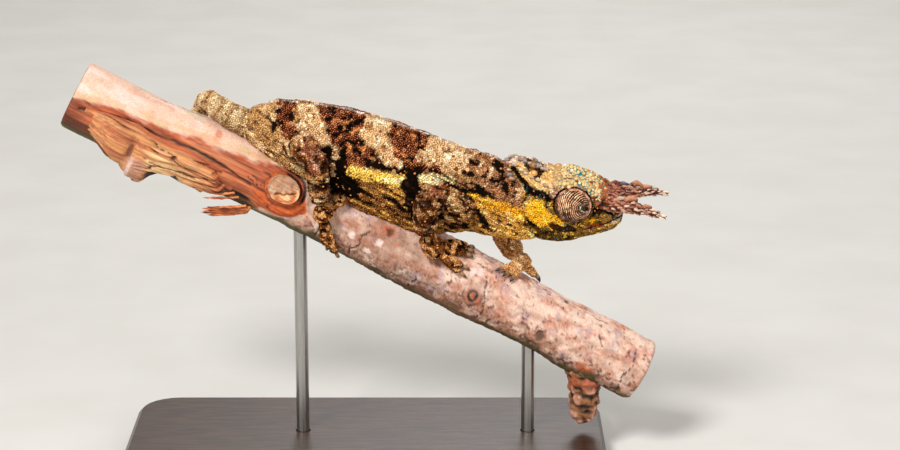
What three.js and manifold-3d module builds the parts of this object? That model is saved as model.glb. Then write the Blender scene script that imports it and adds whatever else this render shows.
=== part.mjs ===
// A two-horned chameleon, life size, walking down a cut length of branch on a display stand.
// Millimetres, +Z up, head towards +X, the animal's right side towards -Y.
// The animal and its branch are modelled in the branch's own frame: x along the branch's axis towards the
// head end, y towards the animal's left, z away from the branch through the animal's back.

import * as THREE from "three";
import { mergeVertices } from "three/addons/utils/BufferGeometryUtils.js";
import Module from "manifold-3d";

const wasm = await Module();
wasm.setup();

// ---- driving dimensions -------------------------------------------------------------------------

const gap = 0.3; // between neighbouring pieces
const branchSlope = 27.8; // degrees down towards the head
const animalLean = 15; // degrees that the animal leans to its right, round the branch
const branchRadius = 8.0;
const branchTail = -87; // the branch's cut ends, along its axis
const branchHead = 67.3;
const branchPoint = new THREE.Vector3(8.42, 0, 53.2); // the branch frame's origin in the part's frame

const headPlace = new THREE.Vector3(29.5, 0, 35.9); // between the eyes
const headPitch = 15; // degrees that the head is raised from the branch's direction
const eyeOut = 4.7; // eye centre from the middle plane
const eyeDrop = 1.2;
const eyeRadius = 4.5;
const pupilRadius = 1.4;
const pupilDepth = 1.15; // from the turret's surface down to the eye's centre

const coilRadius = 8.0; // the tail coil's outer turn, at the middle of the tail
const coilAngle = 115; // degrees round the branch, from its top
const coilTurns = 2.45;

const baseSize = { length: 118, depth: 52, height: 6 };
const rodRadius = 1.6;
const rodDepth = 4; // how far a rod goes into the branch and the base

const endReach = 0.1; // how far a grown form's ends are drawn out, as a share of its length
const left = new THREE.Vector3(0, 1, 0);
const degrees = THREE.MathUtils.degToRad;

// ---- solids and geometries ----------------------------------------------------------------------

// A closed three.js geometry as a manifold-3d solid.
function solidOf(geometry) {
  const bare = geometry.index ? geometry.toNonIndexed() : geometry.clone();
  bare.deleteAttribute("normal");
  bare.deleteAttribute("uv");
  const merged = mergeVertices(bare, 1e-4);
  const vertProperties = new Float32Array(merged.attributes.position.array);
  const triVerts = new Uint32Array(merged.index.array);
  return new wasm.Manifold(new wasm.Mesh({ numProp: 3, vertProperties, triVerts }));
}

function geometryOf(solid) {
  const mesh = solid.getMesh();
  return new THREE.BufferGeometry()
    .setAttribute("position", new THREE.BufferAttribute(mesh.vertProperties, 3))
    .setIndex(new THREE.BufferAttribute(mesh.triVerts, 1));
}

// The largest of a solid's separate bodies: cuts can leave slivers behind.
function mainBody(solid) {
  return solid.decompose().reduce((best, body) => (body.volume() > best.volume() ? body : best));
}

function joined(solids) {
  return solids.reduce((all, solid) => all.add(solid));
}

function cut(solid, ...others) {
  return mainBody(others.reduce((rest, other) => rest.subtract(other), solid));
}

// How wide a section is at a place along a form: 0 at a pole, rounding up to 1 over the length of its cap.
function roundEnd(along, startCap, endCap) {
  const start = startCap > 0 ? Math.min(1, along / startCap) : 1;
  const end = endCap > 0 ? Math.min(1, (1 - along) / endCap) : 1;
  return Math.sqrt(1 - (1 - start) ** 2) * Math.sqrt(1 - (1 - end) ** 2);
}

// Where a sphere's row of vertices comes along a form. An end with no cap is a flat disc, pole and all.
function rowAlong(share, rings, startCap, endCap) {
  const firstRing = (1 - Math.cos(Math.PI / rings)) / 2;
  const before = startCap > 0 ? 0 : firstRing;
  const after = endCap > 0 ? 0 : firstRing;
  return THREE.MathUtils.clamp((share - before) / (1 - before - after), 0, 1);
}

function signedPower(value, power) {
  return Math.sign(value) * Math.abs(value) ** power;
}

// A closed form swept through stations { at, up, down, half }: a sphere whose poles are the two ends.
// crown and keel shape the upper and lower halves: 2 is an ellipse, less is a roof, more is a box.
function sweptForm(stations, options = {}) {
  const { sides = 12, rings = 10, across = left, grow = 0, crown = 2, keel = 2 } = options;
  const { startCap = 0.12, endCap = 0.12, from = 0, to = 1 } = options;
  const path = new THREE.CatmullRomCurve3(stations.map((s) => s.at), false, "catmullrom");
  const sizes = new THREE.CatmullRomCurve3(
    stations.map((s) => new THREE.Vector3(s.up, s.down, s.half)), false, "catmullrom");
  const geometry = new THREE.SphereGeometry(1, sides, rings);
  const position = geometry.attributes.position;
  const point = new THREE.Vector3();
  for (let i = 0; i < position.count; i += 1) {
    point.fromBufferAttribute(position, i);
    const along = rowAlong((1 - point.y) / 2, rings, startCap, endCap);
    const t = from + along * (to - from);
    const centre = path.getPoint(t);
    const tangent = path.getTangent(t);
    const side = across.clone().addScaledVector(tangent, -across.dot(tangent)).normalize();
    const up = new THREE.Vector3().crossVectors(tangent, side);
    const size = sizes.getPoint(t);
    const atPole = Math.hypot(point.x, point.z) < 1e-6;
    const width = atPole ? 0 : roundEnd(along, startCap, endCap);
    const turn = Math.atan2(point.z, point.x);
    const power = 2 / (Math.sin(turn) > 0 ? crown : keel);
    const height = (Math.sin(turn) > 0 ? size.x : size.y) + grow;
    centre.addScaledVector(side, width * (size.z + grow) * signedPower(Math.cos(turn), power));
    centre.addScaledVector(up, width * height * signedPower(Math.sin(turn), power));
    const nearEnd = Math.max(0, 1 - along / endReach) - Math.max(0, 1 - (1 - along) / endReach);
    centre.addScaledVector(tangent, -grow * nearEnd);
    position.setXYZ(i, centre.x, centre.y, centre.z);
  }
  return geometry;
}

// A station of one radius all round.
function ringAt(x, y, z, radius) {
  return { at: new THREE.Vector3(x, y, z), up: radius, down: radius, half: radius };
}

// A station in the animal's middle plane, given by where its back and belly lie.
function bodyAt(x, back, middle, belly, half) {
  return { at: new THREE.Vector3(x, 0, middle), up: back - middle, down: middle - belly, half };
}

function ball(centre, radius, sides, rings) {
  return new THREE.SphereGeometry(radius, sides, rings).translate(centre.x, centre.y, centre.z);
}

// A shape and the same shape grown by the gap, for cutting its neighbours.
function withGrown(make) {
  return { body: make(0), grown: make(gap) };
}

// ---- the branch ---------------------------------------------------------------------------------

// The branch is straight under the animal and sags a little behind its hips.
function branchSag(along) {
  return -2.5 * THREE.MathUtils.smoothstep(-along, 44, 71);
}

// A place on the branch: along its axis, round from its top towards the animal's right, above its bark.
function onBranch(along, aroundDegrees, above) {
  const reach = branchRadius + above;
  const around = degrees(aroundDegrees);
  return new THREE.Vector3(along, -reach * Math.sin(around), reach * Math.cos(around) + branchSag(along));
}

function branchSwell(along) {
  const tailEnd = 0.3 * Math.max(0, (-along - 30) / 57) + 0.4 * THREE.MathUtils.smoothstep(-along, 70, 84);
  return 0.25 * Math.sin(along * 0.09 + 0.6) + tailEnd;
}

function branchForm(grow) {
  const length = branchHead - branchTail + 2 * grow;
  const geometry = new THREE.CylinderGeometry(1, 1, length, 16, 10);
  const position = geometry.attributes.position;
  for (let i = 0; i < position.count; i += 1) {
    const along = position.getY(i) + (branchHead + branchTail) / 2;
    const radius = branchRadius + branchSwell(along) + grow;
    position.setXYZ(i, along, -radius * position.getX(i), radius * position.getZ(i) + branchSag(along));
  }
  return solidOf(geometry);
}

// The plate of wood torn down along the branch's right side. Each row lists a place along the branch, where
// round it the plate starts and ends, and how far its free lower edge hangs clear of the bark.
const tornRows = [
  [-83, 72, 117, 0.1], [-78.9, 66, 133, 0.4], [-73.1, 60, 137, 0.8], [-70.3, 59, 138, 1.0],
  [-68, 61, 144, 2.2], [-65.4, 64, 148, 3.0], [-63.3, 65, 149, 2.8], [-62.3, 65, 144, 1.4],
  [-59.9, 66, 134, 0.2], [-56.8, 68, 130, 0],
  [-54, 72, 130, 0], [-50.4, 78, 130, 0.2], [-47.1, 82, 128, 0.2], [-43.7, 87, 120, 0],
];
const tornThickness = 1.5;

function tornPlate() {
  const plate = new THREE.BoxGeometry(1, 1, 1, tornRows.length - 1, 4, 1);
  const position = plate.attributes.position;
  for (let i = 0; i < position.count; i += 1) {
    const row = Math.round((position.getX(i) + 0.5) * (tornRows.length - 1));
    const [along, start, end, hang] = tornRows[row];
    const share = 0.5 - position.getY(i);
    const outer = position.getZ(i) > 0 ? tornThickness * (1 - 0.3 * share) : 0;
    const above = 1.5 * gap + branchSwell(along) + hang * share ** 3 + outer;
    const at = onBranch(along, start + (end - start) * share, above);
    position.setXYZ(i, at.x, at.y, at.z);
  }
  return solidOf(plate);
}

function splinter() {
  const root = ringAt(-37.5, -6.3, -6.2, 1.1);
  const stations = [root, ringAt(-42, -6.7, -9.0, 1.2), ringAt(-46.6, -6.9, -11.8, 0.5)];
  return solidOf(sweptForm(stations, { sides: 6, rings: 5, startCap: 0.05, endCap: 0.3 }));
}

const stubTurn = 61;

// Where a side branch was pruned: a short oval stub that faces out from the branch's right side.
function prunedStub(grow) {
  const stub = new THREE.CylinderGeometry(1, 1.12, 4 + grow, 14)
    .scale(3.4 + grow, 1, 4.2 + grow)
    .rotateX(Math.PI / 2 + degrees(stubTurn))
    .translate(...onBranch(-32.4, stubTurn, -0.6).toArray());
  return solidOf(stub);
}

function sideBud() {
  const hang = new THREE.Vector3(0.467, -0.229, -0.854); // straight down, in the branch's frame
  const root = new THREE.Vector3(51.6, 0, 0);
  const station = (reach, radius) => {
    const at = root.clone().addScaledVector(hang, reach);
    return ringAt(at.x, at.y, at.z, radius);
  };
  const reaches = [[4, 5.2], [9, 4.4], [13, 3.7], [17, 3.5], [21.4, 2.6]];
  const stations = reaches.map(([reach, radius]) => station(reach, radius));
  return solidOf(sweptForm(stations, { sides: 10, rings: 8, startCap: 0.05, endCap: 0.25 }));
}

// ---- the head -----------------------------------------------------------------------------------

const headMatrix = new THREE.Matrix4()
  .makeTranslation(headPlace)
  .multiply(new THREE.Matrix4().makeRotationY(-degrees(headPitch)));

// In the head's frame x runs to the snout, z up between the eyes.
function inHead(geometry) {
  return solidOf(geometry.applyMatrix4(headMatrix));
}

function skull(grow) {
  const stations = [
    bodyAt(-13.2, 1.2, -4.6, -11.6, 5.2),
    bodyAt(-9, 2.8, -4.4, -13.4, 6.2),
    bodyAt(-4, 3.3, -4.2, -13.2, 6.7),
    bodyAt(1, 3.8, -4.0, -11.7, 6.2),
    bodyAt(5, 3.6, -3.8, -10.2, 5.1),
    bodyAt(9, 2.2, -3.6, -8.2, 4.0),
    bodyAt(12.8, -1.4, -3.4, -5.4, 2.4),
  ];
  const options = { sides: 12, rings: 11, grow, crown: 2.4, keel: 2.3, startCap: 0.06, endCap: 0.1 };
  return inHead(sweptForm(stations, options));
}

// The low roof-shaped casque, from its tip over the nape to the brow.
function casque(grow) {
  const stations = [
    bodyAt(-17.2, 4.9, 4.0, 2.9, 0.9),
    bodyAt(-13, 4.9, 2.3, -1.0, 4.2),
    bodyAt(-8, 4.1, 1.1, -2.6, 5.9),
    bodyAt(-4, 3.3, 1.0, -2.2, 5.8),
    bodyAt(4, 3.7, 1.4, -1.0, 4.6),
  ];
  return inHead(sweptForm(stations, { sides: 9, rings: 7, grow, crown: 1.5, startCap: 0.1, endCap: 0.15 }));
}

// The ridge that runs over one eye and forward to the root of its horn. side is 1 for left, -1 for right.
function browRidge(side, grow) {
  const station = (x, out, z, radius) => ringAt(x, side * out, z, radius);
  const stations = [station(-6.5, 4.6, 1.8, 1.3), station(-2, 3.9, 3.1, 1.5), station(3, 3.5, 2.9, 1.5),
    station(7, 3.2, 1.3, 1.8), station(10.4, 3.1, 0.5, 1.8)];
  return inHead(sweptForm(stations, { sides: 7, rings: 6, grow, startCap: 0.2, endCap: 0.15 }));
}

function eyeCentre(side) {
  return new THREE.Vector3(0, side * eyeOut, -eyeDrop);
}

// Each turret looks its own way: the right eye ahead and out, the left one more to the side.
function gaze(side) {
  return (side < 0 ? new THREE.Vector3(0.77, -0.6, 0.19) : new THREE.Vector3(0.45, 0.88, 0.12)).normalize();
}

function turret(side, grow) {
  return inHead(ball(eyeCentre(side), eyeRadius + grow, 12, 8));
}

function pupil(side, grow) {
  const centre = eyeCentre(side).addScaledVector(gaze(side), eyeRadius - pupilDepth);
  return inHead(ball(centre, pupilRadius + grow, 7, 5));
}

// A horn is a tapering core with rows of blunt scales that point forwards and outwards.
function horn(side) {
  const root = new THREE.Vector3(9.4, side * 3.0, 0.5);
  const tip = new THREE.Vector3(21.9, side * 6.2, 1.9);
  const place = (share) => root.clone().lerp(tip, share);
  const station = (share, tall, half) => ({ at: place(share), up: tall, down: tall, half });
  const core = sweptForm(
    [station(-0.1, 2.2, 1.5), station(0.25, 1.9, 1.4), station(0.6, 1.25, 1.05), station(1, 0.7, 0.65)],
    { sides: 6, rings: 5, startCap: 0.05, endCap: 0.12 });
  const scales = [];
  const rows = [
    { lift: 1, out: 0.2, shares: [0.2, 0.46, 0.72] },
    { lift: -1, out: 0.3, shares: [0.36] },
    { lift: 0.1, out: 1, shares: [0.24, 0.56] },
  ];
  const forward = tip.clone().sub(root).normalize();
  for (const row of rows) {
    for (const share of row.shares) {
      const reach = 1.5 - 0.8 * share;
      const outward = new THREE.Vector3(0, side * row.out, row.lift).normalize();
      const axis = forward.clone().multiplyScalar(1.3).add(outward).normalize();
      const cone = new THREE.CylinderGeometry(0.42, 0.95, 2.5 - share, 5)
        .applyQuaternion(new THREE.Quaternion().setFromUnitVectors(new THREE.Vector3(0, 1, 0), axis))
        .translate(...place(share).addScaledVector(outward, reach).addScaledVector(forward, 0.6).toArray());
      scales.push(inHead(cone));
    }
  }
  return joined([inHead(core), ...scales]);
}

// A closed outline that runs along a line at half the gap to either side of it.
function ribbon(line) {
  const points = line.map(([x, z]) => new THREE.Vector2(x, z));
  const sideOf = (sign) => points.map((point, i) => {
    const before = points[Math.max(0, i - 1)];
    const after = points[Math.min(points.length - 1, i + 1)];
    const along = after.clone().sub(before).normalize();
    return point.clone().add(new THREE.Vector2(-along.y, along.x).multiplyScalar(sign * gap / 2));
  });
  return new THREE.Shape([...sideOf(1), ...sideOf(-1).reverse()]);
}

// A thin sheet along the closed mouth that turns down behind its corner: it parts the lower jaw.
function mouthSheet() {
  const line = [[14.5, -3.2], [12, -3.5], [10.7, -3.9], [8.7, -5.1], [5.5, -6.8], [1.7, -8.4], [-1.2, -9.3],
    [-4.6, -10.2], [-6.6, -11.3], [-8.4, -15.5]];
  const width = 24;
  const sheet = new THREE.ExtrudeGeometry(ribbon(line), { depth: width, bevelEnabled: false });
  return inHead(sheet.rotateX(Math.PI / 2).translate(0, width / 2, 0));
}

// ---- the trunk, neck and tail -------------------------------------------------------------------

// Rump to nape, along one line. The trunk ends and the neck starts at its eighth station.
const bodyStations = [
  bodyAt(-48, 15.9, 12.0, 8.2, 3.6),
  bodyAt(-44.5, 18.7, 12.9, 6.9, 4.3),
  bodyAt(-41, 21.9, 13.8, 5.8, 5.0),
  bodyAt(-31, 26.5, 15.8, 4.6, 6.8),
  bodyAt(-20, 29.5, 17.2, 4.2, 7.5),
  bodyAt(-10, 31.3, 18.2, 4.2, 7.6),
  bodyAt(0, 32.5, 19.6, 6.2, 7.1),
  bodyAt(8, 34.0, 22.0, 12.2, 6.4),
  bodyAt(14, 35.0, 24.0, 15.2, 6.1),
  bodyAt(20, 34.8, 26.2, 17.0, 5.8),
  bodyAt(25, 34.6, 28.0, 19.5, 5.2),
];
const bodyJoint = 7 / (bodyStations.length - 1);
const bodySection = { sides: 16, crown: 1.8, keel: 2.1 };

function trunkForm(grow) {
  const options = { ...bodySection, rings: 12, grow, to: bodyJoint, startCap: 0.04, endCap: 0 };
  return solidOf(sweptForm(bodyStations, options));
}

function neckForm() {
  const from = bodyJoint + 0.0045;
  return solidOf(sweptForm(bodyStations, { ...bodySection, rings: 6, from, startCap: 0, endCap: 0.1 }));
}

// The tail's middle line: over the top of the branch, down its far side and into a flat coil there.
const tailStations = (() => {
  const overBranch = [
    { at: new THREE.Vector3(-43.5, 0, 12.6), up: 5.2, down: 4.0, half: 4.0 },
    { at: new THREE.Vector3(-49, -0.1, 11.7), up: 3.4, down: 3.3, half: 3.5 },
    { at: new THREE.Vector3(-53.2, 0.6, 11.1), up: 3.1, down: 3.2, half: 3.2 },
    { at: new THREE.Vector3(-56.7, 3.6, 10.5), up: 3.0, down: 3.2, half: 3.0 },
    { at: new THREE.Vector3(-58.2, 7.8, 8.0), up: 2.7, down: 2.7, half: 2.6 },
    { at: new THREE.Vector3(-58.4, 9.9, 3.0), up: 2.4, down: 2.4, half: 2.4 },
  ];
  const around = degrees(coilAngle);
  const outward = new THREE.Vector3(0, Math.sin(around), Math.cos(around));
  const downward = new THREE.Vector3(0, Math.cos(around), -Math.sin(around));
  const middle = -59.4 - coilRadius;
  const centre = new THREE.Vector3(middle, 0, branchSag(middle))
    .addScaledVector(outward, branchRadius + 3.1)
    .addScaledVector(downward, 2.4);
  const steps = Math.round(coilTurns * 9);
  const coil = [];
  let reach = coilRadius;
  for (let i = 0; i <= steps; i += 1) {
    const share = i / steps;
    const turn = 2 * Math.PI * coilTurns * share;
    const radius = 1.9 - 1.3 * share ** 0.8;
    const at = centre.clone()
      .addScaledVector(downward, reach * Math.sin(turn))
      .add(new THREE.Vector3(reach * Math.cos(turn), 0, 0));
    coil.push({ at, up: radius, down: radius, half: radius });
    reach -= (2 * radius + gap) * (coilTurns / steps);
  }
  return [...overBranch, ...coil];
})();

// One length of the tail, between two shares of its whole, turning its section with the path.
function tailLength(from, to, tip = false) {
  const trim = 0.0015;
  const rings = Math.max(6, Math.round((to - from) * 50));
  const across = new THREE.Vector3(0.35, 1, 0.42).normalize();
  const caps = { startCap: 0, endCap: tip ? 0.12 : 0 };
  const share = { from: from + trim, to: tip ? 1 : to - trim };
  return solidOf(sweptForm(tailStations, { ...share, ...caps, sides: 8, rings, across }));
}

// ---- the legs -----------------------------------------------------------------------------------

// A limb's length from joint to joint, as a form with round ends.
function limbForm(points, radii, grow) {
  const stations = points.map((point, i) => ringAt(point.x, point.y, point.z, radii[i]));
  const across = new THREE.Vector3(0.2, 1, 0.1).normalize();
  return solidOf(sweptForm(stations, { sides: 8, rings: 6, grow, startCap: 0.2, endCap: 0.2, across }));
}

const toeRadius = 1.2;

// One toe along the bark, from the palm out to its claw. spread moves it sideways within its bundle.
function toePath(foot, bundle, spread) {
  const places = bundle.path.map(([along, around, above], i) => {
    const share = i / (bundle.path.length - 1);
    const shift = spread * (0.55 + 0.45 * share);
    return onBranch(along + shift * bundle.spreadAlong, around + shift * bundle.spreadAround, above);
  });
  return [onBranch(...foot.palm).lerp(foot.ankle, 0.35), ...places];
}

function toeForm(path, grow) {
  const stations = path.map((point, i) => {
    const radius = toeRadius * (i === path.length - 1 ? 0.72 : 1);
    return ringAt(point.x, point.y, point.z, radius);
  });
  return solidOf(sweptForm(stations, { sides: 6, rings: 4, grow, startCap: 0.1, endCap: 0.22 }));
}

// A claw that carries on past the toe's end and bends down to the bark.
function clawForm(path, grow) {
  const end = path[path.length - 1];
  const ahead = end.clone().sub(path[path.length - 2]).normalize();
  const down = new THREE.Vector3(0, -end.y, -end.z).normalize();
  const station = (forward, sink, radius) => {
    const at = end.clone().addScaledVector(ahead, forward).addScaledVector(down, sink);
    return ringAt(at.x, at.y, at.z, radius);
  };
  const stations = [station(0.3, -0.25, 0.5), station(1.2, -0.1, 0.45), station(1.95, 0.3, 0.3)];
  return solidOf(sweptForm(stations, { sides: 5, rings: 4, grow, startCap: 0.1, endCap: 0.35 }));
}

function footForm(foot, grow) {
  const palmAt = onBranch(...foot.palm);
  const heel = palmAt.clone().lerp(foot.ankle, -0.18);
  const across = new THREE.Vector3(1, 0.2, 0.1).normalize();
  const palm = solidOf(sweptForm(
    [ringAt(...foot.ankle.toArray(), foot.ankleRadius), ringAt(...palmAt.toArray(), foot.palmRadius),
      ringAt(...heel.toArray(), foot.palmRadius * 0.8)],
    { sides: 7, rings: 5, grow, startCap: 0.3, endCap: 0.4, across }));
  return joined([palm, ...foot.toes.map((path) => toeForm(path, grow))]);
}

// Joints are given for each leg as points in the branch's frame. A bundle's path lists places on the bark.
const legs = [
  {
    name: "right_fore", names: ["upper_arm", "forearm", "forefoot"],
    joints: [
      new THREE.Vector3(10.6, -4.6, 20.6),
      new THREE.Vector3(-2.4, -10.2, 22.0),
      new THREE.Vector3(2.4, -9.5, 11.4),
    ],
    upperRadii: [3.8, 3.4, 3.3], lowerRadii: [3.4, 3.3, 3.1],
    foot: {
      palm: [6.6, 42, 3.0], ankleRadius: 3.0, palmRadius: 2.9,
      bundles: [
        { path: [[11.3, 45, 2.0], [15.0, 47, 1.1]], count: 2, spreadAlong: 0, spreadAround: 11 },
        { path: [[11.0, 20, 1.9], [14.6, 10, 1.1]], count: 3, spreadAlong: 0, spreadAround: 10 },
      ],
    },
  },
  {
    name: "left_fore", names: ["upper_arm", "forearm", "forefoot"],
    joints: [
      new THREE.Vector3(10.6, 4.6, 20.6),
      new THREE.Vector3(19.2, 8.3, 13.2),
      new THREE.Vector3(27.2, 5.4, 9.4),
    ],
    upperRadii: [3.8, 3.3, 3.1], lowerRadii: [3.3, 3.1, 2.9],
    foot: {
      palm: [28.4, -16, 2.5], ankleRadius: 2.7, palmRadius: 2.6,
      bundles: [
        { path: [[26.8, 2, 1.6], [25.6, 15, 1.0]], count: 3, spreadAlong: 1.7, spreadAround: 2 },
        { path: [[31.4, -28, 1.6], [33.4, -34, 1.0]], count: 2, spreadAlong: 0.5, spreadAround: -11 },
      ],
    },
  },
  {
    name: "right_hind", names: ["thigh", "shin", "hind_foot"],
    joints: [
      new THREE.Vector3(-35.8, -3.6, 12.8),
      new THREE.Vector3(-30.5, -11.0, 19.1),
      new THREE.Vector3(-23.1, -10.2, 6.4),
    ],
    upperRadii: [3.6, 3.5, 3.2], lowerRadii: [3.3, 3.0, 2.9],
    foot: {
      palm: [-20.8, 69, 2.7], ankleRadius: 2.7, palmRadius: 2.6,
      bundles: [
        {
          path: [[-18.5, 90, 1.8], [-16.6, 107, 1.4], [-15.2, 120, 1.1]],
          count: 3, spreadAlong: 1.55, spreadAround: 3,
        },
        { path: [[-19.4, 40, 1.9], [-17.8, 20, 1.2]], count: 2, spreadAlong: 1.7, spreadAround: 3 },
      ],
    },
  },
  {
    name: "left_hind", names: ["thigh", "shin", "hind_foot"],
    joints: [
      new THREE.Vector3(-35.8, 3.6, 12.8),
      new THREE.Vector3(-30.5, 10.6, 15.8),
      new THREE.Vector3(-27.4, 10.2, 6.2),
    ],
    upperRadii: [3.6, 3.4, 3.1], lowerRadii: [3.2, 2.8, 2.5],
    foot: {
      palm: [-26.2, -68, 2.6], ankleRadius: 2.4, palmRadius: 2.4,
      bundles: [
        {
          path: [[-25.3, -90, 1.7], [-24.4, -108, 1.2], [-23.8, -122, 1.0]],
          count: 3, spreadAlong: 1.35, spreadAround: -3,
        },
        { path: [[-25.4, -40, 1.7], [-24.6, -22, 1.1]], count: 2, spreadAlong: 1.6, spreadAround: -3 },
      ],
    },
  },
];

function planFoot(leg) {
  const foot = leg.foot;
  foot.ankle = leg.joints[2];
  foot.toes = foot.bundles.flatMap((bundle) =>
    Array.from({ length: bundle.count }, (_, i) => toePath(foot, bundle, i - (bundle.count - 1) / 2)));
}

function makeLeg(leg) {
  planFoot(leg);
  const [root, bend, ankle] = leg.joints;
  const midway = (a, b, bulge) => a.clone().lerp(b, 0.5).add(bulge);
  const upperPath = [root, midway(root, bend, new THREE.Vector3(0, 0, 0.4)), bend];
  const lowerPath = [bend, midway(bend, ankle, new THREE.Vector3(0, 0, 0.2)), ankle];
  return {
    upper: withGrown((grow) => limbForm(upperPath, leg.upperRadii, grow)),
    lower: withGrown((grow) => limbForm(lowerPath, leg.lowerRadii, grow)),
    foot: withGrown((grow) => footForm(leg.foot, grow)),
    claws: leg.foot.toes.map((path) => withGrown((grow) => clawForm(path, grow))),
  };
}

// ---- the stand ----------------------------------------------------------------------------------

function standBase() {
  const { length, depth, height } = baseSize;
  const corner = 9;
  const chamfer = 1;
  const x = length / 2 - corner - chamfer;
  const y = depth / 2 - corner - chamfer;
  const outline = new THREE.Shape();
  outline.absarc(x, y, corner, 0, Math.PI / 2);
  outline.absarc(-x, y, corner, Math.PI / 2, Math.PI);
  outline.absarc(-x, -y, corner, Math.PI, 1.5 * Math.PI);
  outline.absarc(x, -y, corner, 1.5 * Math.PI, 2 * Math.PI);
  const bevel = { bevelThickness: chamfer, bevelSize: chamfer, bevelSegments: 1 };
  const rise = { depth: height - 2 * chamfer, curveSegments: 3 };
  const plate = new THREE.ExtrudeGeometry(outline, { ...rise, ...bevel });
  return solidOf(plate.translate(0, 0, chamfer));
}

// An upright rod at x, from inside the base up into the branch's underside.
function standRod(x, grow) {
  const axisHeight = branchPoint.z - (x - branchPoint.x) * Math.tan(degrees(branchSlope));
  const underside = axisHeight - branchRadius / Math.cos(degrees(branchSlope));
  const bottom = baseSize.height - rodDepth - grow;
  const height = underside + rodDepth + grow - bottom;
  return solidOf(new THREE.CylinderGeometry(rodRadius + grow, rodRadius + grow, height, 12)
    .rotateX(Math.PI / 2)
    .translate(x, 0, bottom + height / 2));
}

// ---- assembly -----------------------------------------------------------------------------------

const skinMaterial = new THREE.MeshStandardMaterial({ color: 0x9a7650, roughness: 0.75, metalness: 0 });
const hornMaterial = new THREE.MeshStandardMaterial({ color: 0xb07a66, roughness: 0.6, metalness: 0 });
const clawMaterial = new THREE.MeshStandardMaterial({ color: 0x3a2c20, roughness: 0.4, metalness: 0 });
const eyeMaterial = new THREE.MeshStandardMaterial({ color: 0x120d0a, roughness: 0.1, metalness: 0 });
const barkMaterial = new THREE.MeshStandardMaterial({ color: 0xcaa393, roughness: 0.85, metalness: 0 });
const woodMaterial = new THREE.MeshStandardMaterial({ color: 0xb5663a, roughness: 0.8, metalness: 0 });
const baseMaterial = new THREE.MeshStandardMaterial({ color: 0x2a211c, roughness: 0.45, metalness: 0 });
const rodMaterial = new THREE.MeshStandardMaterial({ color: 0x9a9a98, roughness: 0.35, metalness: 1 });

const part = new THREE.Group();
const branchFrame = new THREE.Group();
branchFrame.position.copy(branchPoint);
branchFrame.rotation.set(degrees(animalLean), degrees(branchSlope), 0, "YXZ");
branchFrame.updateMatrix();
part.add(branchFrame);

function addNode(group, name, solid, material) {
  const mesh = new THREE.Mesh(geometryOf(mainBody(solid)), material);
  mesh.name = name;
  group.add(mesh);
}

// A solid of the part's frame, seen from the branch's frame.
const intoBranchFrame = branchFrame.matrix.clone().invert();

function throughBranch(make) {
  return solidOf(geometryOf(make).applyMatrix4(intoBranchFrame));
}

function buildStand() {
  const rods = [{ name: "stand_rod_tail", x: -16 }, { name: "stand_rod_head", x: 40 }];
  const grown = rods.map((rod) => standRod(rod.x, gap));
  addNode(part, "stand_base", cut(standBase(), ...grown), baseMaterial);
  for (const rod of rods) addNode(part, rod.name, standRod(rod.x, 0), rodMaterial);
  return grown.map(throughBranch);
}

function buildPerch(rodHoles) {
  const branch = withGrown(branchForm);
  const stub = withGrown(prunedStub);
  addNode(branchFrame, "perch_branch", cut(branch.body, stub.grown, ...rodHoles), barkMaterial);
  addNode(branchFrame, "perch_pruned_stub", stub.body, woodMaterial);
  const torn = tornPlate();
  addNode(branchFrame, "perch_torn_wood", cut(torn, branch.grown, stub.grown), woodMaterial);
  const cleared = cut(splinter(), branch.grown, stub.grown, sweptGap(torn));
  addNode(branchFrame, "perch_splinter", cleared, woodMaterial);
  addNode(branchFrame, "perch_side_bud", cut(sideBud(), branch.grown), barkMaterial);
  return branch.grown;
}

// A solid made larger by the gap through three small shifts, for pieces with no size of their own to grow.
function sweptGap(solid) {
  const shifts = [[0, 0, gap], [0, 0, -gap], [0, gap, 0], [0, -gap, 0], [gap, 0, 0], [-gap, 0, 0]];
  return joined([solid, ...shifts.map((shift) => solid.translate(shift))]);
}

function buildHead() {
  const whole = (grow) => joined([skull(grow), casque(grow), browRidge(1, grow), browRidge(-1, grow)]);
  const sides = [{ name: "right", side: -1 }, { name: "left", side: 1 }];
  const grown = whole(gap);
  const socketed = sides.reduce((rest, { side }) => rest.subtract(turret(side, gap)), whole(0));
  const pieces = socketed.subtract(mouthSheet()).decompose().sort((a, b) => b.volume() - a.volume());
  addNode(branchFrame, "head", pieces[0], skinMaterial);
  addNode(branchFrame, "lower_jaw", pieces[1], skinMaterial);
  for (const { name, side } of sides) {
    addNode(branchFrame, `${name}_eye_turret`, turret(side, 0).subtract(pupil(side, gap)), skinMaterial);
    addNode(branchFrame, `${name}_eye`, pupil(side, 0), eyeMaterial);
    addNode(branchFrame, `${name}_horn`, cut(horn(side), grown), hornMaterial);
  }
  return joined([grown, ...sides.map(({ side }) => turret(side, gap))]);
}

function buildLegs(perch) {
  return legs.map((leg) => {
    const made = makeLeg(leg);
    const [upper, lower, foot] = leg.names.map((name) => `${leg.name.split("_")[0]}_${name}`);
    addNode(branchFrame, foot, cut(made.foot.body, perch), skinMaterial);
    addNode(branchFrame, lower, cut(made.lower.body, made.foot.grown, perch), skinMaterial);
    const nearBody = cut(made.upper.body, made.lower.grown, made.foot.grown, perch);
    addNode(branchFrame, upper, nearBody, skinMaterial);
    made.claws.forEach((claw, i) => {
      addNode(branchFrame, `${foot}_claw_${i + 1}`, cut(claw.body, made.foot.grown, perch), clawMaterial);
    });
    const claws = made.claws.map((claw) => claw.grown);
    return joined([made.upper.grown, made.lower.grown, made.foot.grown, ...claws]);
  });
}

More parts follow.
